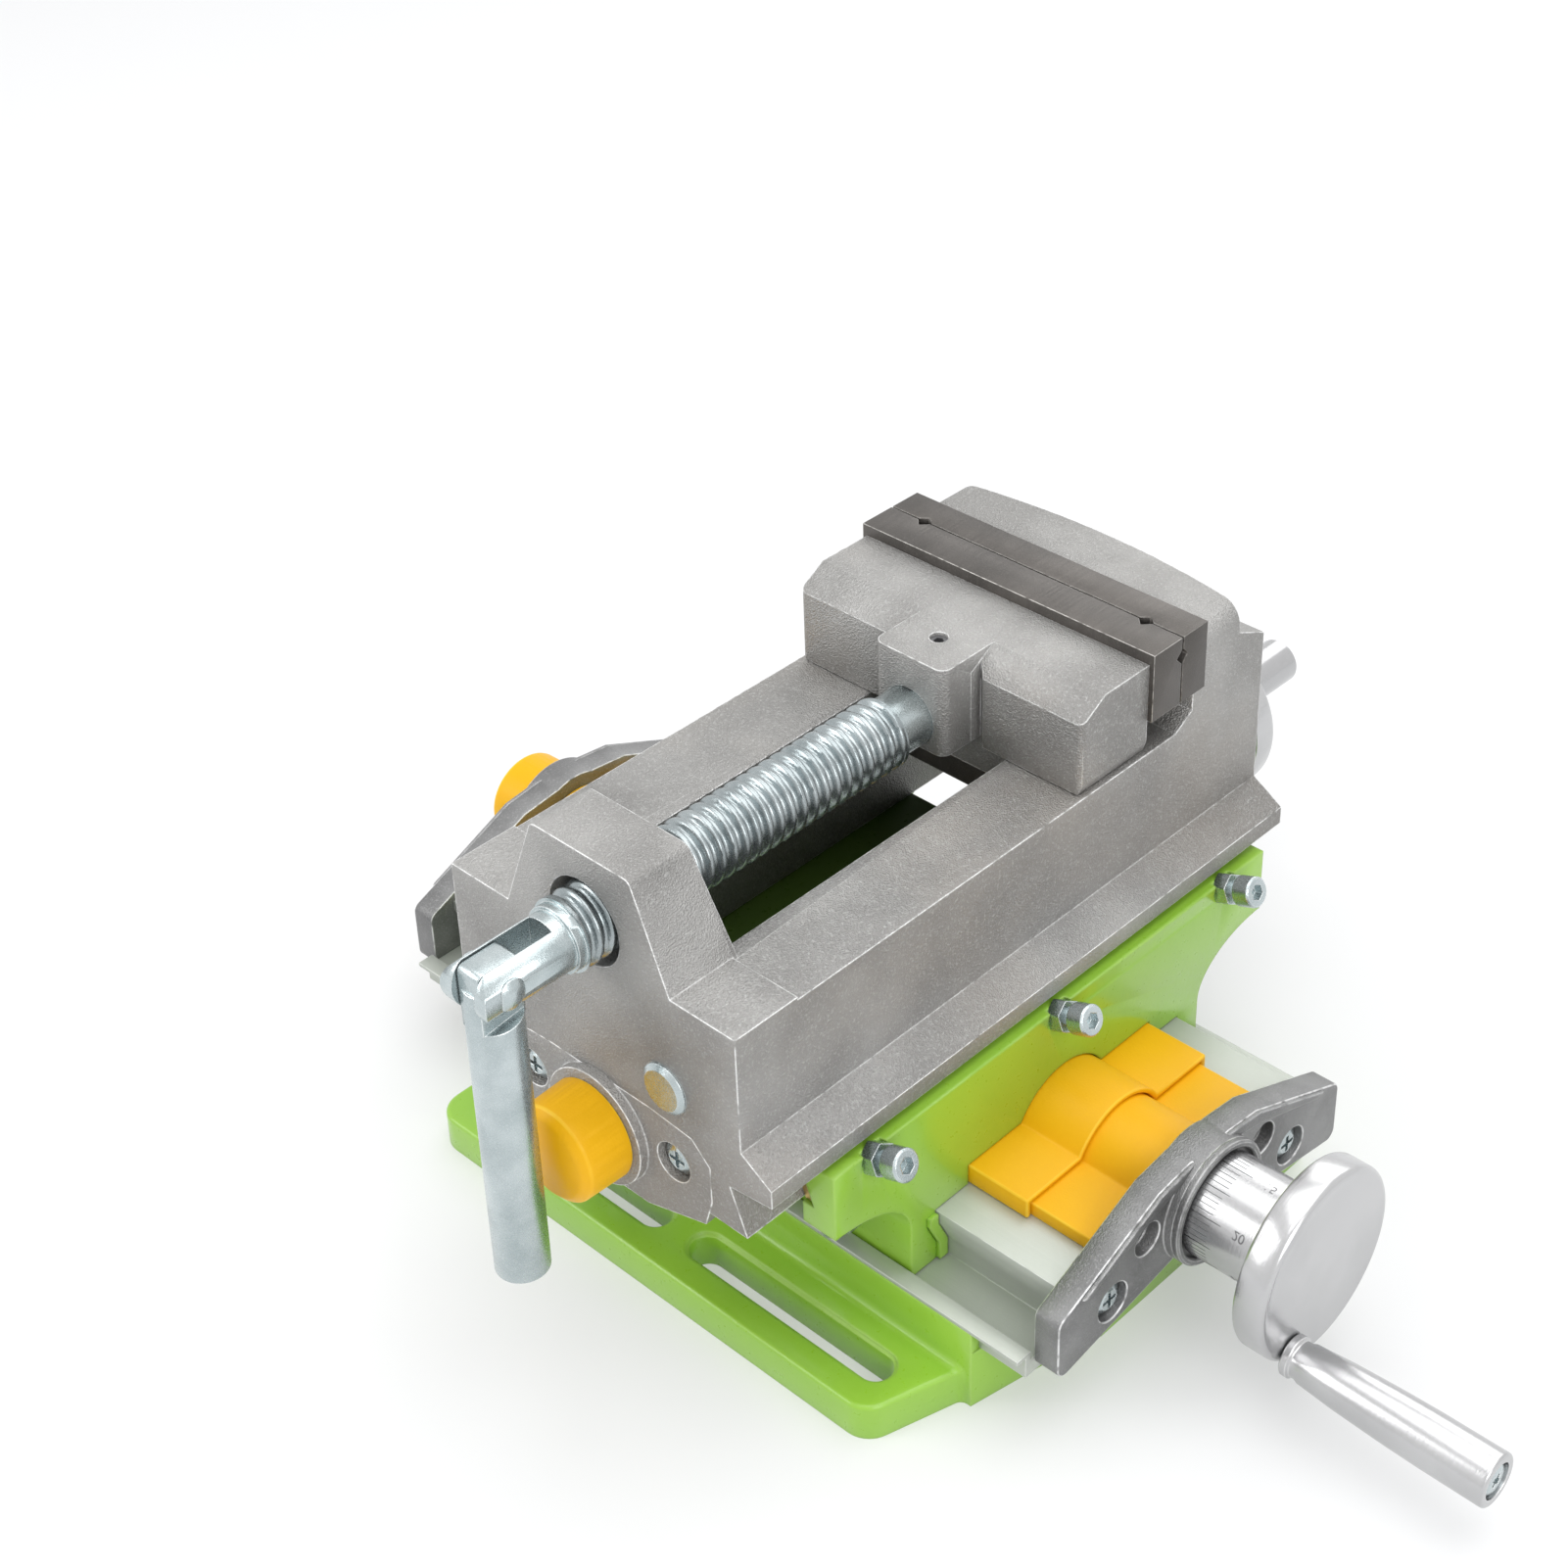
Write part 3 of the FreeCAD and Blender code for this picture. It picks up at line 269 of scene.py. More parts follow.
def makeStreaks():
    inputs = [("Along X", floatSocket, 20.0), ("Along Y", floatSocket, 900.0),
              ("Along Z", floatSocket, 900.0)]
    group, into, out = newGroup("toolStreaks", inputs, [("Streak", floatSocket)])
    where = addNode(group, "ShaderNodeTexCoord")
    size = addNode(group, "ShaderNodeCombineXYZ")
    for i, (label, kind, value) in enumerate(inputs):
        wire(group, into.outputs[label], size.inputs[i])
    stretch = addNode(group, "ShaderNodeVectorMath", operation="MULTIPLY")
    wire(group, where.outputs["Object"], stretch.inputs[0])
    wire(group, size.outputs[0], stretch.inputs[1])
    noise = addNode(group, "ShaderNodeTexNoise")
    noise.inputs["Scale"].default_value = 1.0
    noise.inputs["Detail"].default_value = streakDetail
    wire(group, stretch.outputs[0], noise.inputs["Vector"])
    wire(group, noise.outputs["Fac"], out.inputs["Streak"])
    return group


edgeWearAndHighlight = makeEdgeWearAndHighlight()
castGrain = makeCastGrain()
toolStreaks = makeStreaks()


def useGroup(tree, group, **values):
    node = addNode(tree, "ShaderNodeGroup", node_tree=group)
    for key, value in values.items():
        node.inputs[key.replace("_", " ")].default_value = value
    return node


def mixColour(tree, factor, first, second):
    mix = addNode(tree, "ShaderNodeMix", data_type="RGBA")
    wire(tree, factor, mix.inputs[0])
    for socket, value in ((mix.inputs[6], first), (mix.inputs[7], second)):
        if isinstance(value, tuple):
            socket.default_value = value
        else:
            wire(tree, value, socket)
    return mix.outputs[2]


# painted shade where the bed hangs over the paint: the green is darkened inside a box, in mm
def underBedShadeMask(tree, g):
    where = addNode(tree, "ShaderNodeTexCoord")
    split = addNode(tree, "ShaderNodeSeparateXYZ")
    wire(tree, where.outputs["Object"], split.inputs[0])
    total = None
    for axis, middle, half in zip("XYZ", g["middle"], g["half"]):
        offset = addNode(tree, "ShaderNodeMath", operation="SUBTRACT")
        offset.inputs[1].default_value = middle * mm
        wire(tree, split.outputs[axis], offset.inputs[0])
        reach = addNode(tree, "ShaderNodeMath", operation="ABSOLUTE")
        wire(tree, offset.outputs[0], reach.inputs[0])
        band = ((half - g["soft"]) * mm, half * mm)
        inside = mapRange(tree, reach.outputs[0], band, (g["amount"], 0.0))
        if total is not None:
            both = addNode(tree, "ShaderNodeMath", operation="MINIMUM")
            wire(tree, total, both.inputs[0])
            wire(tree, inside, both.inputs[1])
            inside = both.outputs[0]
        total = inside
    return total


# the stretch of each noise that is seen, then amounts that all finishes share
bands = {"blotch": (0.35, 0.65), "stain": (0.5, 0.68), "fleck": (0.52, 0.72), "rough": (0.3, 0.7),
         "streak": (0.35, 0.65), "streakShade": (0.35, 0.7)}
shared = {"stainAmount": 0.55, "stainSpread": 0.7, "bumpDistance": 0.0003, "coatRoughness": 0.12}


def makeFinish(name, s):
    mat, tree, shader = newMaterial(name)
    grain = useGroup(tree, castGrain, Scale=s["grainScale"], Blotch_Scale=s["blotchScale"])
    wearAndHighlight = useGroup(tree, edgeWearAndHighlight, Radius=s["edgeRadius"], Break=s["edgeBreak"],
                    Amount=s["edgeAmount"])
    blotch = mapRange(tree, grain.outputs["Blotch"], bands["blotch"])
    colour = mixColour(tree, blotch, s["dark"], s["light"])
    if s.get("stain"):
        spread = s["stainScale"] * shared["stainSpread"]
        patch = useGroup(tree, castGrain, Scale=s["stainScale"], Blotch_Scale=spread)
        spot = mapRange(tree, patch.outputs["Blotch"], bands["stain"], (0.0, shared["stainAmount"]))
        colour = mixColour(tree, spot, colour, s["stain"])
    fleck = mapRange(tree, grain.outputs["Speckle"], bands["fleck"], (0.0, s["fleckAmount"]))
    colour = mixColour(tree, fleck, colour, s["fleck"])
    # edges lighter: partly wear, partly painted highlight
    colour = mixColour(tree, wearAndHighlight.outputs["Mask"], colour, s["edge"])
    wire(tree, colour, shader.inputs["Base Color"])
    shader.inputs["Metallic"].default_value = s["metallic"]
    rough = mapRange(tree, grain.outputs["Speckle"], bands["rough"], s["rough"])
    wire(tree, rough, shader.inputs["Roughness"])
    bump = addNode(tree, "ShaderNodeBump")
    bump.inputs["Strength"].default_value = s["bump"]
    bump.inputs["Distance"].default_value = shared["bumpDistance"]
    wire(tree, grain.outputs["Height"], bump.inputs["Height"])
    wire(tree, wearAndHighlight.outputs["Normal"], bump.inputs["Normal"])
    wire(tree, bump.outputs[0], shader.inputs["Normal"])
    # painted shade: darkens the green inside the box under the bed
    if s.get("underBedShade"):
        tinted = mixColour(tree, underBedShadeMask(tree, s["underBedShade"]), colour, s["underBedShade"]["colour"])
        wire(tree, tinted, shader.inputs["Base Color"])
    if s.get("specular"):
        shader.inputs["Specular IOR Level"].default_value = s["specular"]
    if s.get("coat"):
        shader.inputs["Coat Weight"].default_value = s["coat"]
        shader.inputs["Coat Roughness"].default_value = shared["coatRoughness"]
    if s.get("streak"):
        x, y, z = s["streak"]
        streak = useGroup(tree, toolStreaks, Along_X=x, Along_Y=y, Along_Z=z)
        fine = mapRange(tree, streak.outputs[0], bands["streak"])
        height = addNode(tree, "ShaderNodeMath", operation="ADD")
        wire(tree, fine, height.inputs[0])
        wire(tree, grain.outputs["Height"], height.inputs[1])
        wire(tree, height.outputs[0], bump.inputs["Height"])
        shade = mapRange(tree, streak.outputs[0], bands["streakShade"], (0.0, s["streakShade"]))
        tinted = mixColour(tree, shade, colour, s["dark"])
        wire(tree, tinted, shader.inputs["Base Color"])
    return mat


# each finish's edge colour is partly wear, partly painted highlight on its edges
finishes = {
    "castAlloy": {
        "dark": (0.265, 0.259, 0.249, 1), "light": (0.385, 0.378, 0.366, 1),
        "fleck": (0.68, 0.68, 0.67, 1), "fleckAmount": 0.45, "edge": (1.0, 1.0, 0.99, 1),
        "grainScale": 1250.0, "blotchScale": 30.0, "edgeRadius": 0.0007, "edgeBreak": 300.0,
        "edgeAmount": 1.0, "metallic": 0.5, "rough": (0.36, 0.58), "bump": 0.85,
        "stain": (0.21, 0.165, 0.12, 1), "stainScale": 11.0,
    },
    "castBracket": {
        "dark": (0.17, 0.17, 0.17, 1), "light": (0.26, 0.26, 0.26, 1), "fleck": (0.42, 0.42, 0.42, 1),
        "fleckAmount": 0.5, "edge": (0.75, 0.75, 0.75, 1), "grainScale": 1500.0, "blotchScale": 60.0,
        "edgeRadius": 0.0008, "edgeBreak": 300.0, "edgeAmount": 1.0, "metallic": 0.7,
        "rough": (0.34, 0.5), "bump": 0.35,
    },
    "greenPaint": {
        "dark": (0.27, 0.52, 0.04, 1), "light": (0.31, 0.57, 0.05, 1), "fleck": (0.35, 0.61, 0.07, 1),
        "fleckAmount": 0.2, "edge": (0.45, 0.7, 0.14, 1), "grainScale": 500.0, "blotchScale": 12.0,
        "edgeRadius": 0.0012, "edgeBreak": 60.0, "edgeAmount": 0.6, "metallic": 0.0,
        "rough": (0.26, 0.38), "bump": 0.05, "coat": 0.35,
        # painted shade under the bed: this colour fills the box
        "underBedShade": {"colour": (0.03, 0.06, 0.01, 1), "middle": (12.6, 10.0, 58.0),
                  "half": (54.0, 70.0, 17.5), "soft": 5.0, "amount": 0.85},
    },
    "groundSteel": {
        "dark": (0.083, 0.077, 0.071, 1), "light": (0.128, 0.118, 0.109, 1),
        "fleck": (0.24, 0.22, 0.2, 1), "fleckAmount": 0.4, "edge": (0.62, 0.6, 0.57, 1),
        "grainScale": 1900.0, "blotchScale": 50.0, "edgeRadius": 0.0004, "edgeBreak": 500.0,
        "edgeAmount": 0.9, "metallic": 0.75, "rough": (0.34, 0.5), "bump": 0.2,
        "streak": (900.0, 60.0, 60.0), "streakShade": 0.4,
    },
    "zincPlate": {
        "dark": (0.4, 0.46, 0.47, 1), "light": (0.54, 0.6, 0.61, 1), "fleck": (0.72, 0.77, 0.78, 1),
        "fleckAmount": 0.3, "edge": (0.9, 0.93, 0.93, 1), "grainScale": 1900.0, "blotchScale": 90.0,
        "edgeRadius": 0.0004, "edgeBreak": 500.0, "edgeAmount": 0.7, "metallic": 0.9,
        "rough": (0.2, 0.32), "bump": 0.1,
    },
    "zincThread": {
        "dark": (0.28, 0.32, 0.33, 1), "light": (0.4, 0.44, 0.45, 1), "fleck": (0.55, 0.6, 0.6, 1),
        "fleckAmount": 0.2, "edge": (0.8, 0.83, 0.83, 1), "grainScale": 1900.0, "blotchScale": 90.0,
        "edgeRadius": 0.0002, "edgeBreak": 500.0, "edgeAmount": 0.3, "metallic": 0.9,
        "rough": (0.2, 0.3), "bump": 0.06,
    },
    "turnedAluminium": {
        "dark": (0.47, 0.47, 0.475, 1), "light": (0.56, 0.56, 0.565, 1),
        "fleck": (0.68, 0.68, 0.69, 1), "fleckAmount": 0.15, "edge": (0.95, 0.95, 0.95, 1),
        "grainScale": 1500.0, "blotchScale": 30.0, "edgeRadius": 0.0005, "edgeBreak": 300.0,
        "edgeAmount": 0.8, "metallic": 0.9, "rough": (0.2, 0.27), "bump": 0.04,
        "streak": (2600.0, 40.0, 40.0), "streakShade": 0.15,
    },
    "drawnRail": {
        "dark": (0.43, 0.455, 0.41, 1), "light": (0.5, 0.525, 0.475, 1), "fleck": (0.6, 0.62, 0.58, 1),
        "fleckAmount": 0.2, "edge": (0.85, 0.86, 0.83, 1), "grainScale": 1500.0, "blotchScale": 20.0,
        "edgeRadius": 0.0004, "edgeBreak": 200.0, "edgeAmount": 0.7, "metallic": 0.35,
        "rough": (0.36, 0.5), "bump": 0.05, "streak": (6.0, 900.0, 900.0), "streakShade": 0.25,
    },
    "yellowPlastic": {
        "dark": (0.86, 0.44, 0.003, 1), "light": (0.92, 0.49, 0.005, 1),
        "fleck": (0.95, 0.53, 0.01, 1), "fleckAmount": 0.2, "edge": (1.0, 0.68, 0.06, 1),
        "grainScale": 900.0, "blotchScale": 25.0, "edgeRadius": 0.0007, "edgeBreak": 50.0,
        "edgeAmount": 0.5, "metallic": 0.0, "rough": (0.36, 0.48), "bump": 0.08, "specular": 0.25,
    },
    "gibBrass": {
        "dark": (0.42, 0.3, 0.1, 1), "light": (0.55, 0.4, 0.15, 1), "fleck": (0.7, 0.55, 0.25, 1),
        "fleckAmount": 0.3, "edge": (0.8, 0.65, 0.35, 1), "grainScale": 900.0, "blotchScale": 60.0,
        "edgeRadius": 0.0004, "edgeBreak": 300.0, "edgeAmount": 0.5, "metallic": 0.9,
        "rough": (0.3, 0.45), "bump": 0.1,
    },
    "engravedLine": {
        "dark": (0.16, 0.16, 0.165, 1), "light": (0.2, 0.2, 0.205, 1), "fleck": (0.3, 0.3, 0.3, 1),
        "fleckAmount": 0.2, "edge": (0.3, 0.3, 0.3, 1), "grainScale": 900.0, "blotchScale": 60.0,
        "edgeRadius": 0.0001, "edgeBreak": 300.0, "edgeAmount": 0.0, "metallic": 0.6,
        "rough": (0.35, 0.5), "bump": 0.05,
    },
}
materials = {name: makeFinish(name, s) for name, s in finishes.items()}
slotFinish = {
    "green_paint": "greenPaint", "cast_alloy": "castAlloy", "plate_steel": "groundSteel",
    "zinc_steel": "zincPlate", "turned_aluminium": "turnedAluminium", "rail_aluminium": "drawnRail",
    "yellow_plastic": "yellowPlastic", "gib_brass": "gibBrass",
}
nodeSlot = {p["node"]: p["material_slot"] for p in frame["record"]["subparts"]}
bodyOfNode = {n: b for b, names in frame["record"]["behaviour"]["bodies"].items() for n in names}
nodeFinish = {n: slotFinish[s] for n, s in nodeSlot.items()}
for nodeName in ("end_bracket_right", "end_bracket_left"):
    nodeFinish[nodeName] = "castBracket"
nodeFinish["jaw_set_screw"] = "engravedLine"
for nodeName, obj in frame["nodes"].items():
    finish = materials[nodeFinish[nodeName]]
    if not obj.material_slots:
        obj.data.materials.append(finish)
    for slot in obj.material_slots:
        slot.material = finish
print("stage: finishes on the frame")


def newPiece(name, mesh):
    piece = bpy.data.objects.new(name, mesh)
    bpy.context.collection.objects.link(piece)
    return piece


def bakeModifiers(piece):
    view = bpy.context.evaluated_depsgraph_get()
    view.update()
    mesh = bpy.data.meshes.new_from_object(piece.evaluated_get(view))
    piece.modifiers.clear()
    piece.data = mesh
    return piece


def settle(piece, node, finishName=None, replace=False, sharp=34):
    piece.data.materials.clear()
    piece.data.materials.append(materials[finishName or nodeFinish[node]])
    piece.data.shade_smooth()
    piece.data.set_sharp_from_angle(angle=math.radians(sharp))
    if replace:
        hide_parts(node)
    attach(piece, bodyOfNode[node])


# a point given in mm as the length along axis x or y and its place across it
def toAxis(axis, along, a, b):
    return Vector((along, a, b)) * mm if axis == "x" else Vector((a, along, b)) * mm


# distances in metres that count as none
tolerance = {"weld": 1e-7, "threadWeld": 1e-6, "copyWeld": 2e-6}


def cleanMesh(name, work):
    bmesh.ops.remove_doubles(work, verts=work.verts, dist=tolerance["weld"])
    bmesh.ops.recalc_face_normals(work, faces=work.faces)
    mesh = bpy.data.meshes.new(name)
    work.to_mesh(mesh)
    work.free()
    return mesh


def lathePiece(name, axis, centre, outline, steps=96):
    work = bmesh.new()
    rings = []
    for along, radius in outline:
        if radius == 0:
            rings.append([work.verts.new(toAxis(axis, along, *centre))])
            continue
        ring = []
        for i in range(steps):
            turn = 2 * math.pi * i / steps
            ring.append(work.verts.new(toAxis(axis, along, centre[0] + radius * math.cos(turn),
                                              centre[1] + radius * math.sin(turn))))
        rings.append(ring)
    for first, second in zip(rings, rings[1:]):
        for i in range(steps):
            j = (i + 1) % steps
            corners = [first[i % len(first)], first[j % len(first)]]
            corners += [second[j % len(second)], second[i % len(second)]]
            corners = list(dict.fromkeys(corners))
            if len(corners) > 2:
                work.faces.new(corners)
    return newPiece(name, cleanMesh(name, work))


def roundedCorner(along, radius, size, startTurn, steps=5):
    turns = [math.radians(startTurn + 90.0 * i / steps) for i in range(steps + 1)]
    return [(along + size * math.cos(t), radius + size * math.sin(t)) for t in turns]


def prismPiece(name, axis, outline, span):
    work = bmesh.new()
    near = [work.verts.new(toAxis(axis, span[0], *p)) for p in outline]
    far = [work.verts.new(toAxis(axis, span[1], *p)) for p in outline]
    work.faces.new(near)
    work.faces.new(far)
    for i in range(len(outline)):
        j = (i + 1) % len(outline)
        work.faces.new((near[i], near[j], far[j], far[i]))
    return newPiece(name, cleanMesh(name, work))


# real rounded edges on copies of the castings and mouldings, widths in mm
softEdges = {
    "vise_body": 0.8, "movable_jaw": 0.8, "movable_jaw_plate": 0.45, "fixed_jaw_plate": 0.45,
    "saddle": 0.8, "base": 0.8, "end_bracket_right": 0.8, "end_bracket_left": 0.8,
    "front_bracket": 0.7, "rear_bracket": 0.7, "outer_cover_right": 0.5, "outer_cover_left": 0.5,
    "inner_cover_right": 0.4, "inner_cover_left": 0.4, "lever": 0.5, "rail": 0.3,
    "lower_end_cap": 0.5, "front_end_cap": 0.5,
}
sharpAngle = math.radians(38)
flatAngle = math.radians(0.3)
jointSettings = {"gap": 0.25, "near": 0.2}


def mergedCopy(node, name):
    mesh = frame["nodes"][node].data.copy()
    work = bmesh.new()
    work.from_mesh(mesh)
    bmesh.ops.remove_doubles(work, verts=work.verts, dist=tolerance["copyWeld"])
    bmesh.ops.dissolve_limit(work, angle_limit=flatAngle, verts=work.verts, edges=work.edges)
    work.to_mesh(mesh)
    work.free()
    return newPiece(name, mesh)


# outer edges are rounded and marked for the worn edge and its painted highlight, inner corners are only
# rounded
def roundEdges(piece, width):
    work = bmesh.new()
    work.from_mesh(piece.data)
    wornAndHighlightEdge = work.faces.layers.float.new("wornAndHighlightEdge")
    for convex in (True, False):
        sharp = [e for e in work.edges
                 if len(e.link_faces) == 2 and e.calc_face_angle(0.0) > sharpAngle]
        picked = [e for e in sharp if e.is_convex == convex and not any(f[wornAndHighlightEdge] for f in e.link_faces)]
        made = bmesh.ops.bevel(work, geom=picked, offset=width * mm, offset_type="OFFSET", segments=2,
                               profile=0.5, affect="EDGES", clamp_overlap=True, miter_outer="ARC")
        if convex:
            for face in made["faces"]:
                face[wornAndHighlightEdge] = 1.0
    work.to_mesh(piece.data)
    work.free()


def softenNode(node, width):
    piece = mergedCopy(node, node + "_cast")
    roundEdges(piece, width)
    settle(piece, node, replace=True)


for nodeName, width in softEdges.items():
    softenNode(nodeName, width)


# the two jaw plates touch, a hairline keeps their joint dark
def openJoint(node, joint, step):
    mesh = bpy.data.objects[node + "_cast"].data
    near = [abs(vert.co.y - joint) < jointSettings["near"] * mm for vert in mesh.vertices]
    # the joint's faces lose the worn edge and its painted highlight
    for face in mesh.polygons:
        if any(near[i] for i in face.vertices):
            mesh.attributes["wornAndHighlightEdge"].data[face.index].value = 0.0
    for vert in mesh.vertices:
        if near[vert.index]:
            vert.co.y += step * mm


plateJoint = min(v.co.y for v in frame["nodes"]["fixed_jaw_plate"].data.vertices)
openJoint("fixed_jaw_plate", plateJoint, jointSettings["gap"])
openJoint("movable_jaw_plate", plateJoint, -jointSettings["gap"])
print("stage: rounded castings and mouldings")


def addTreeSockets(tree, inputs):
    for label, kind, value in inputs:
        socket = tree.interface.new_socket(label, in_out="INPUT", socket_type=kind)
        socket.default_value = value
    tree.interface.new_socket("Finish", in_out="INPUT", socket_type="NodeSocketMaterial")
    tree.interface.new_socket("Geometry", in_out="OUTPUT", socket_type="NodeSocketGeometry")
    return addNode(tree, "NodeGroupInput"), addNode(tree, "NodeGroupOutput")


# each tree ends in real geometry that carries the finish given to it
def closeTree(tree, geometry, into, out):
    real = addNode(tree, "GeometryNodeRealizeInstances")
    wire(tree, geometry, real.inputs[0])
    paint = addNode(tree, "GeometryNodeSetMaterial")
    wire(tree, real.outputs[0], paint.inputs["Geometry"])
    wire(tree, into.outputs["Finish"], paint.inputs["Material"])
    wire(tree, paint.outputs[0], out.inputs[0])
    return tree


# threads: one tree shapes a sheet into a grooved rod along Y
threadShape = {"crest": 0.45, "steepness": 2.1, "runOut": 0.4, "rowsPerTurn": 10, "columns": 49,
               "slack": 1.0, "sharp": 60}


def makeThreadTree():
    tree = bpy.data.node_groups.new("threadedRod", "GeometryNodeTree")
    into, out = addTreeSockets(tree, (
        ("Radius", floatSocket, 0.0098), ("Depth", floatSocket, 0.0015), ("Lead", floatSocket, 0.004),
        ("Length", floatSocket, 0.1), ("Rows", "NodeSocketInt", 200), ("Columns", "NodeSocketInt", 49)))

    def calc(kind, first, second=None, clamp=False):
        node = addNode(tree, "ShaderNodeMath", operation=kind, use_clamp=clamp)
        for i, value in enumerate((first, second)):
            if value is None:
                continue
            if isinstance(value, (int, float)):
                node.inputs[i].default_value = value
            else:
                wire(tree, value, node.inputs[i])
        return node.outputs[0]

    sheet = addNode(tree, "GeometryNodeMeshGrid")
    sheet.inputs["Size X"].default_value = 2 * math.pi
    wire(tree, into.outputs["Length"], sheet.inputs["Size Y"])
    wire(tree, into.outputs["Columns"], sheet.inputs["Vertices X"])
    wire(tree, into.outputs["Rows"], sheet.inputs["Vertices Y"])
    spot = addNode(tree, "GeometryNodeInputPosition")
    split = addNode(tree, "ShaderNodeSeparateXYZ")
    wire(tree, spot.outputs[0], split.inputs[0])
    turn = split.outputs["X"]
    along = calc("ADD", split.outputs["Y"], calc("MULTIPLY", into.outputs["Length"], 0.5))
    leads = calc("DIVIDE", along, into.outputs["Lead"])
    turns = calc("SUBTRACT", leads, calc("DIVIDE", turn, 2 * math.pi))
    wave = calc("SINE", calc("MULTIPLY", calc("FRACT", turns), math.pi))
    groove = calc("SUBTRACT", wave, threadShape["crest"])
    groove = calc("MULTIPLY", groove, threadShape["steepness"], clamp=True)
    toEnd = calc("MINIMUM", along, calc("SUBTRACT", into.outputs["Length"], along))
    runOut = calc("MULTIPLY", into.outputs["Lead"], threadShape["runOut"])
    fade = calc("DIVIDE", toEnd, runOut, clamp=True)
    depth = calc("MULTIPLY", calc("MULTIPLY", groove, fade), into.outputs["Depth"])
    radius = calc("SUBTRACT", into.outputs["Radius"], depth)
    join = addNode(tree, "ShaderNodeCombineXYZ")
    wire(tree, calc("MULTIPLY", radius, calc("COSINE", turn)), join.inputs[0])
    wire(tree, along, join.inputs[1])
    wire(tree, calc("MULTIPLY", radius, calc("SINE", turn)), join.inputs[2])
    bend = addNode(tree, "GeometryNodeSetPosition")
    wire(tree, sheet.outputs["Mesh"], bend.inputs["Geometry"])
    wire(tree, join.outputs[0], bend.inputs["Position"])
    weld = addNode(tree, "GeometryNodeMergeByDistance")
    weld.inputs["Distance"].default_value = tolerance["threadWeld"]
    wire(tree, bend.outputs[0], weld.inputs["Geometry"])
    return closeTree(tree, weld.outputs[0], into, out)


def runTree(name, tree, values):
    piece = newPiece(name, bpy.data.meshes.new(name))
    nodes = piece.modifiers.new(name, "NODES")
    nodes.node_group = tree
    ids = {i.name: i.identifier for i in tree.interface.items_tree if i.in_out == "INPUT"}
    for label, value in values.items():
        nodes[ids[label]] = value
    return bakeModifiers(piece)


def orientOutwards(piece):
    work = bmesh.new()
    work.from_mesh(piece.data)
    bmesh.ops.recalc_face_normals(work, faces=work.faces)
    work.to_mesh(piece.data)
    work.free()


threads = {
    "vise_screw": {"axis": "y", "centre": (12.6, 132.3), "from": -97.5, "to": 12.0, "radius": 9.8,
                   "depth": 1.8, "lead": 4.0},
    "lower_leadscrew": {"axis": "x", "centre": (13.0, 40.4), "from": -112.3, "to": 112.3, "radius": 6.0,
                        "depth": 0.9, "lead": 3.0},
    "upper_leadscrew": {"axis": "y", "centre": (12.6, 69.95), "from": -82.4, "to": 108.2, "radius": 6.0,
                        "depth": 0.9, "lead": 3.0},
}


def addThread(node, s, tree):
    length = s["to"] - s["from"]
    rod = runTree(node + "_thread", tree, {
        "Radius": s["radius"] * mm, "Depth": s["depth"] * mm, "Lead": s["lead"] * mm,
        "Length": length * mm, "Rows": int(length / s["lead"] * threadShape["rowsPerTurn"]) + 1,
        "Columns": threadShape["columns"], "Finish": materials["zincThread"]})
    place = Matrix.Translation(toAxis(s["axis"], s["from"], *s["centre"]))
    if s["axis"] == "x":
        place = place @ Matrix.Rotation(math.radians(-90), 4, "Z")
    rod.data.transform(place)
    orientOutwards(rod)
    settle(rod, node, "zincThread", sharp=threadShape["sharp"])
    # the smooth stretch of the solid is left out, its ends stay
    core = mergedCopy(node, node + "_ends")
    work = bmesh.new()
    work.from_mesh(core.data)
    axis = 0 if s["axis"] == "x" else 1
    gone = []
    for face in work.faces:
        reach = [v.co[axis] / mm for v in face.verts]
        if max(reach) - min(reach) > length - threadShape["slack"]:
            gone.append(face)
    bmesh.ops.delete(work, geom=gone, context="FACES")
    work.to_mesh(core.data)
    work.free()
    settle(core, node, replace=True)


threadTree = makeThreadTree()
for nodeName, s in threads.items():
    addThread(nodeName, s, threadTree)
print("stage: threads")


# handwheels, grips and their bolts, lengths and radii in mm
wheelSettings = {"radius": 26.5, "width": 9.0, "edge": 2.0, "backEdge": 1.0, "backCut": 0.3,
                 "bore": 4.5, "groove": 0.05, "proud": 0.04, "step": 1.2, "steps": 128}


def addWheel(prefix, axis, centre, start):
    s = wheelSettings
    end = start + s["width"]
    rim = s["radius"]
    face = rim - s["edge"]
    outline = [(start, s["bore"]), (start, rim - s["backEdge"]),
               (start + s["backCut"], rim - s["backCut"]), (start + s["backEdge"], rim)]
    outline += roundedCorner(end - s["edge"], face, s["edge"], 0)[::-1]
    outline += [(end - s["groove"], face - s["step"]), (end + s["proud"], face - 2 * s["step"]),
                (end + s["proud"], 0)]
    wheel = lathePiece(prefix + "_handwheel_turned", axis, centre, outline, s["steps"])
    settle(wheel, prefix + "_handwheel", replace=True)


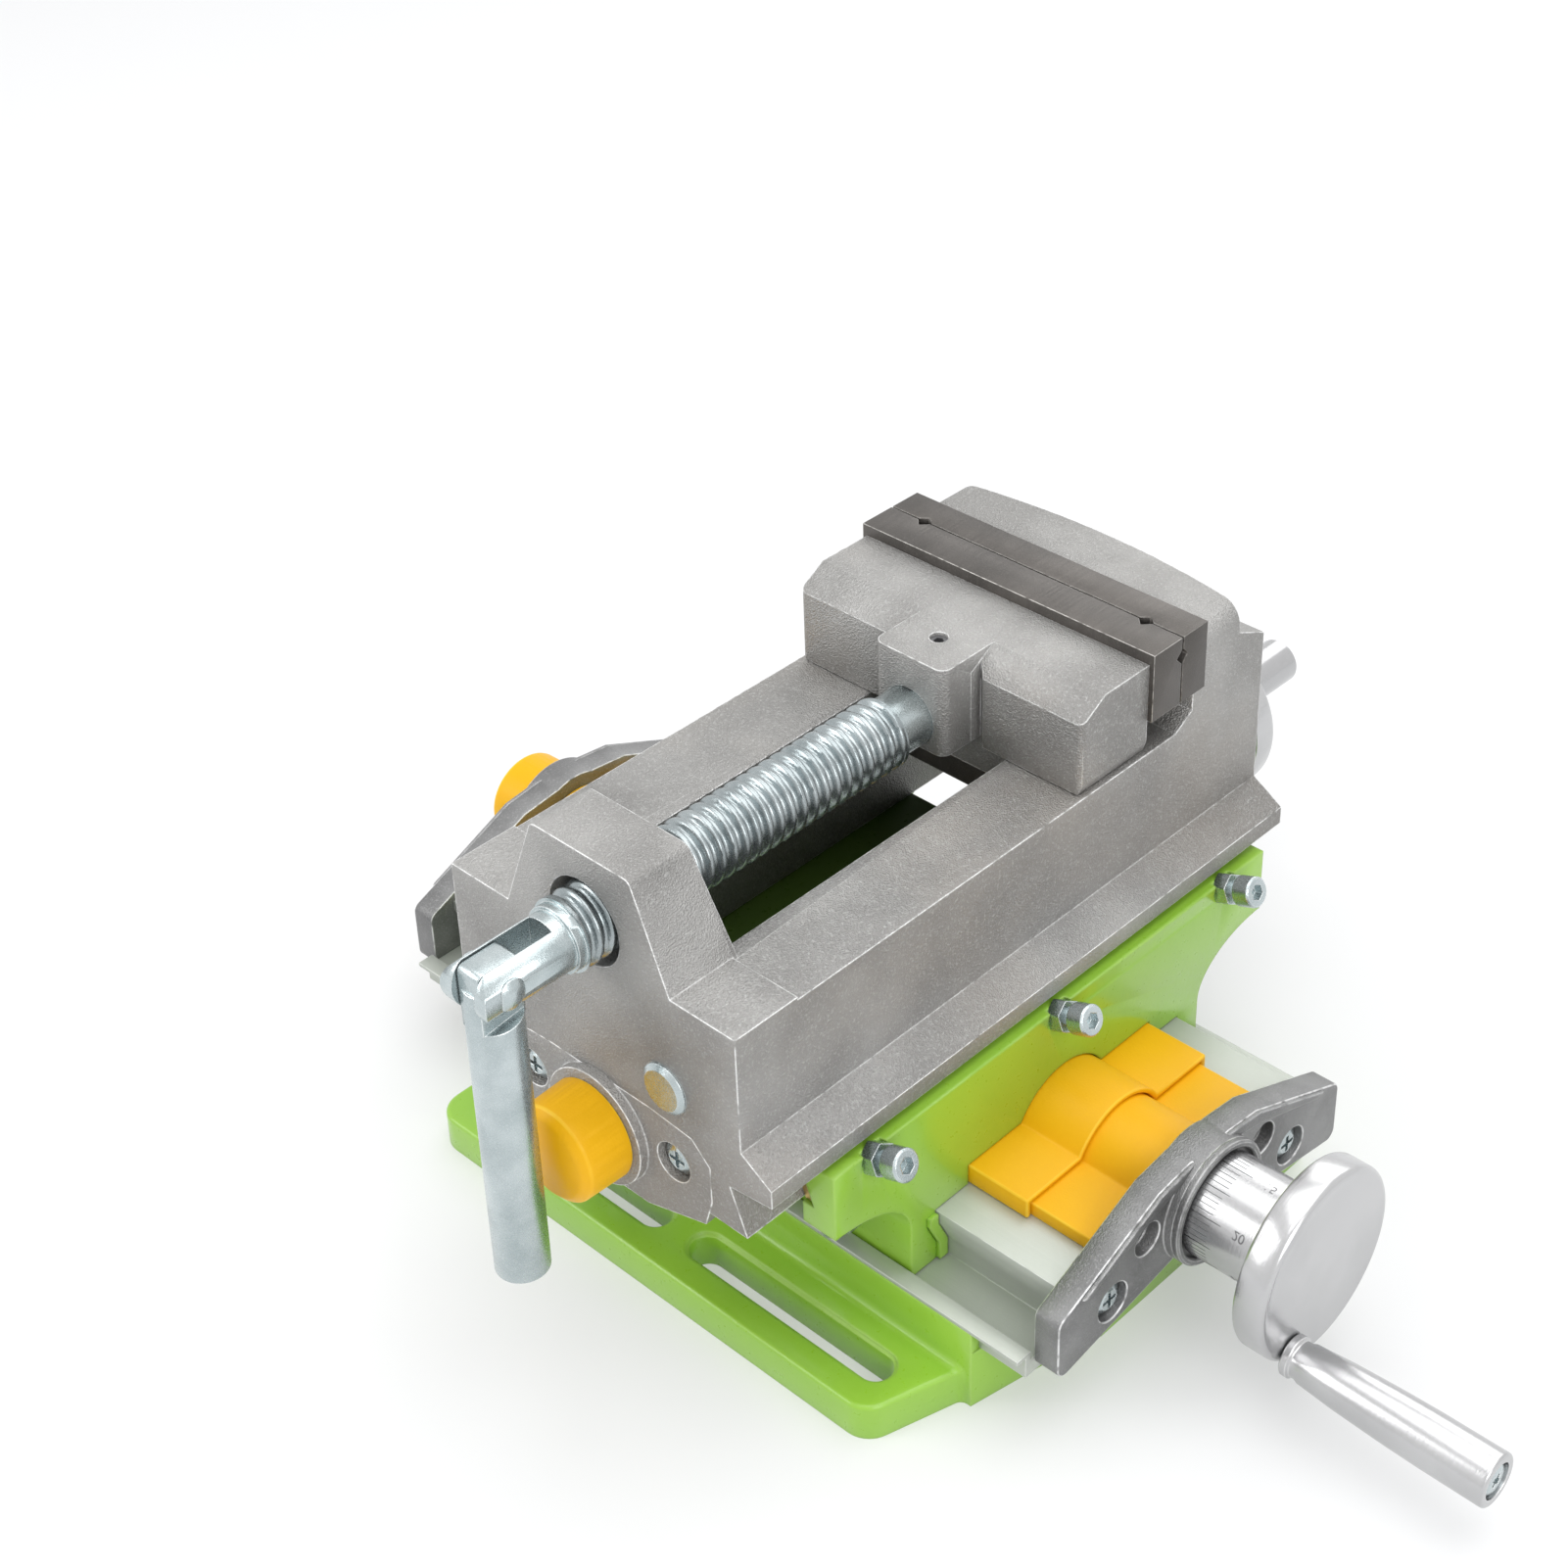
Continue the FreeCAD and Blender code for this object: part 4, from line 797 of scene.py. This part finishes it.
# the grip's profile lists the distance from the wheel's face and the radius
gripSettings = {
    "offset": 23.5, "turn": 236.5, "length": 58.5, "steps": 72, "sharp": 40,
    "profile": ((0.3, 2.6), (0.3, 5.2), (0.7, 5.6), (2.4, 5.6), (3.0, 4.9), (4.2, 4.9), (5.4, 5.4),
                (16, 6.25), (30, 6.85), (40, 7.1)),
    "end": 7.2, "rim": 0.8, "beforeRim": 0.2, "recess": 5.0, "recessFoot": 4.8, "recessDepth": 2.6,
    "bore": 2.6,
}
boltSettings = {"sunk": 0.35, "tip": 5.9, "shank": 2.5, "head": 4.5, "seat": 2.7, "crown": 0.9,
                "crownRise": 0.2, "steps": 48}
crossSettings = {"arm": 2.7, "width": 0.95, "depth": 1.2, "over": 1}


def gripCentre(centre):
    turn = math.radians(gripSettings["turn"])
    reach = gripSettings["offset"]
    return (centre[0] + reach * math.cos(turn), centre[1] + reach * math.sin(turn))


def addGrip(prefix, axis, centre, start):
    s = gripSettings
    end = start + s["length"]
    spot = gripCentre(centre)
    foot = end - s["recessDepth"]
    outline = [(start + along, radius) for along, radius in s["profile"]]
    outline += [(end - s["rim"] - s["beforeRim"], s["end"])]
    outline += roundedCorner(end - s["rim"], s["end"] - s["rim"], s["rim"], 0)[::-1]
    outline += [(end, s["recess"]), (foot, s["recessFoot"]), (foot, s["bore"])]
    grip = lathePiece(prefix + "_grip_turned", axis, spot, outline, s["steps"])
    settle(grip, prefix + "_grip", replace=True, sharp=s["sharp"])

    s = boltSettings
    top = end - s["sunk"]
    outline = [(start - s["tip"], 0), (start - s["tip"], s["shank"]), (end - s["seat"], s["shank"]),
               (end - s["seat"], s["head"]), (top - s["crown"], s["head"]),
               (top - s["crownRise"], s["head"] - s["crown"]), (top, s["head"] - 2 * s["crown"]), (top, 0)]
    bolt = lathePiece(prefix + "_grip_bolt_turned", axis, spot, outline, s["steps"])
    cutCross(bolt, axis, spot, top)
    settle(bolt, prefix + "_grip_bolt", replace=True)


# a cross recess in the bolt's head: turned 45 degrees, which also makes it 0.7 times as large
def cutCross(piece, axis, centre, face):
    s = crossSettings
    arm, width = s["arm"], s["width"]
    cross = [(-arm, -width), (-width, -width), (-width, -arm), (width, -arm), (width, -width),
             (arm, -width), (arm, width), (width, width), (width, arm), (-width, arm),
             (-width, width), (-arm, width)]
    cross = [(centre[0] + (a - b) * 0.5, centre[1] + (a + b) * 0.5) for a, b in cross]
    tool = prismPiece("crossTool", axis, cross, (face - s["depth"], face + s["over"]))
    cut = piece.modifiers.new("cross", "BOOLEAN")
    cut.operation = "DIFFERENCE"
    cut.solver = "EXACT"
    cut.object = tool
    bakeModifiers(piece)
    bpy.data.objects.remove(tool, do_unlink=True)


# dial: ticks repeat round the thimble, every fifth and tenth longer, lengths in mm
dialSettings = {
    "radius": 14.4, "length": 24.0, "start": 0.9, "ticks": 60, "width": 0.2, "height": 0.06,
    "rows": {"short": (1, 6.4), "middle": (5, 7.8), "long": (10, 9.2)},
    "figure": 3.5, "figureHeight": 0.02, "figureAt": 14.6, "figureEvery": 10, "figureStep": 5,
}


def makeDialTree():
    tree = bpy.data.node_groups.new("dialTicks", "GeometryNodeTree")
    into, out = addTreeSockets(tree, (
        ("Ticks", "NodeSocketInt", 60), ("Every", "NodeSocketInt", 5), ("Radius", floatSocket, 0.0144),
        ("Tick Length", floatSocket, 0.003), ("Tick Width", floatSocket, 0.00016),
        ("Tick Height", floatSocket, 0.00005)))
    circle = addNode(tree, "GeometryNodeMeshCircle")
    wire(tree, into.outputs["Ticks"], circle.inputs["Vertices"])
    wire(tree, into.outputs["Radius"], circle.inputs["Radius"])
    size = addNode(tree, "ShaderNodeCombineXYZ")
    wire(tree, into.outputs["Tick Height"], size.inputs[0])
    wire(tree, into.outputs["Tick Width"], size.inputs[1])
    wire(tree, into.outputs["Tick Length"], size.inputs[2])
    bar = addNode(tree, "GeometryNodeMeshCube")
    wire(tree, size.outputs[0], bar.inputs["Size"])
    lift = addNode(tree, "GeometryNodeTransform")
    half = addNode(tree, "ShaderNodeMath", operation="MULTIPLY")
    half.inputs[1].default_value = 0.5
    wire(tree, into.outputs["Tick Length"], half.inputs[0])
    up = addNode(tree, "ShaderNodeCombineXYZ")
    wire(tree, half.outputs[0], up.inputs[2])
    wire(tree, bar.outputs["Mesh"], lift.inputs["Geometry"])
    wire(tree, up.outputs[0], lift.inputs["Translation"])
    spot = addNode(tree, "GeometryNodeInputPosition")
    aim = addNode(tree, "FunctionNodeAlignEulerToVector", axis="X")
    wire(tree, spot.outputs[0], aim.inputs["Vector"])
    index = addNode(tree, "GeometryNodeInputIndex")
    rest = addNode(tree, "ShaderNodeMath", operation="MODULO")
    wire(tree, index.outputs[0], rest.inputs[0])
    wire(tree, into.outputs["Every"], rest.inputs[1])
    chosen = addNode(tree, "FunctionNodeCompare", data_type="FLOAT", operation="LESS_THAN")
    wire(tree, rest.outputs[0], chosen.inputs[0])
    chosen.inputs[1].default_value = 0.5
    copies = addNode(tree, "GeometryNodeInstanceOnPoints")
    wire(tree, circle.outputs[0], copies.inputs["Points"])
    wire(tree, chosen.outputs[0], copies.inputs["Selection"])
    wire(tree, lift.outputs[0], copies.inputs["Instance"])
    wire(tree, aim.outputs[0], copies.inputs["Rotation"])
    return closeTree(tree, copies.outputs[0], into, out)


def joinPieces(name, pieces):
    work = bmesh.new()
    for piece in pieces:
        work.from_mesh(piece.data)
        bpy.data.objects.remove(piece, do_unlink=True)
    mesh = bpy.data.meshes.new(name)
    work.to_mesh(mesh)
    work.free()
    return newPiece(name, mesh)


# letters read along the axis and wrap round the barrel
def makeFigure(text, around):
    s = dialSettings
    curve = bpy.data.curves.new("figure", "FONT")
    curve.body = text
    curve.size = s["figure"] * mm
    curve.align_x = "CENTER"
    curve.align_y = "CENTER"
    curve.extrude = s["figureHeight"] * mm
    holder = newPiece("figureText", curve)
    view = bpy.context.evaluated_depsgraph_get()
    mesh = bpy.data.meshes.new_from_object(holder.evaluated_get(view))
    bpy.data.objects.remove(holder, do_unlink=True)
    barrel = s["radius"] * mm
    for vert in mesh.vertices:
        angle = around + vert.co.y / barrel
        radius = barrel + vert.co.z
        along = s["figureAt"] * mm + vert.co.x
        vert.co = Vector((radius * math.cos(angle), radius * math.sin(angle), along))
    return mesh


def addDial(prefix, axis, centre, start, tree):
    s = dialSettings
    # the tree's circle lies across Z, so Z is turned onto the screw's axis
    quarter = math.radians(90)
    turn = Matrix.Rotation(quarter, 4, "Y") if axis == "x" else Matrix.Rotation(-quarter, 4, "X")
    place = Matrix.Translation(toAxis(axis, start + s["start"], *centre)) @ turn
    rows = []
    for label, (every, length) in s["rows"].items():
        row = runTree(prefix + "_ticks_" + label, tree, {
            "Ticks": s["ticks"], "Every": every, "Radius": s["radius"] * mm,
            "Tick Length": length * mm, "Tick Width": s["width"] * mm,
            "Tick Height": s["height"] * mm, "Finish": materials["engravedLine"]})
        row.data.transform(place)
        rows.append(row)
    for k in range(s["ticks"] // s["figureEvery"]):
        around = 2 * math.pi * k * s["figureEvery"] / s["ticks"]
        mesh = makeFigure(str(k * s["figureStep"]), around)
        mesh.transform(place)
        rows.append(newPiece(prefix + "_figure", mesh))
    dial = joinPieces(prefix + "_thimble_marks", rows)
    orientOutwards(dial)
    settle(dial, prefix + "_thimble", "engravedLine")


dialTree = makeDialTree()
# ring is the outer face of the bracket that the thimble turns against
slideEnds = {"lower": {"axis": "x", "centre": (13.0, 40.4), "ring": 123.1},
             "upper": {"axis": "y", "centre": (12.6, 69.95), "ring": 119.0}}
dialGap = 0.5
for prefix, s in slideEnds.items():
    dialStart = s["ring"] + dialGap
    wheelStart = dialStart + dialSettings["length"]
    addDial(prefix, s["axis"], s["centre"], dialStart, dialTree)
    addWheel(prefix, s["axis"], s["centre"], wheelStart)
    addGrip(prefix, s["axis"], s["centre"], wheelStart + wheelSettings["width"])
print("stage: handwheels, grips and dials")


# raised lips round the thimbles
lipSettings = {"inner": 15.5, "height": 1.9, "rim": 0.5, "sunk": 0.2,
               "outer": {"end_bracket_right": ("lower", 17.5), "rear_bracket": ("upper", 16.5)}}


def addLip(node, axis, centre, face, outer):
    s = lipSettings
    foot = face - s["sunk"]
    top = face + s["height"]
    outline = [(foot, s["inner"]), (top - s["rim"], s["inner"]), (top, s["inner"] + s["rim"]),
               (top, outer - s["rim"]), (top - s["rim"], outer), (foot, outer), (foot, s["inner"])]
    settle(lathePiece(node + "_lip", axis, centre, outline), node)


for nodeName, (prefix, outer) in lipSettings["outer"].items():
    s = slideEnds[prefix]
    addLip(nodeName, s["axis"], s["centre"], s["ring"], outer)


# ribs along the top of the end brackets: outline as distance from the middle and height
ribSettings = {
    "face": 120.4, "middle": 13.0, "thickness": 1.2, "sunk": 0.2, "round": 0.6, "segments": 2,
    "outline": ((50.0, 41.9), (20.0, 55.05), (8.0, 56.55), (0.0, 56.55),
                (0.0, 53.7), (9.0, 53.5), (20.5, 50.98), (47.0, 41.3)),
}


def addBracketRib(side, hand):
    s = ribSettings
    outline = [(s["middle"] + hand * across, height) for across, height in s["outline"]]
    span = sorted((side * (s["face"] - s["sunk"]), side * (s["face"] + s["thickness"])))
    rib = prismPiece("bracketRib", "x", outline, span)
    bevel = rib.modifiers.new("softEdges", "BEVEL")
    bevel.width = s["round"] * mm
    bevel.segments = s["segments"]
    bevel.limit_method = "ANGLE"
    bakeModifiers(rib)
    return rib


for side, word in ((1, "right"), (-1, "left")):
    nodeName = "end_bracket_" + word
    ribs = joinPieces(nodeName + "_ribs", [addBracketRib(side, -1), addBracketRib(side, 1)])
    settle(ribs, nodeName)
print("stage: bracket lips and ribs")
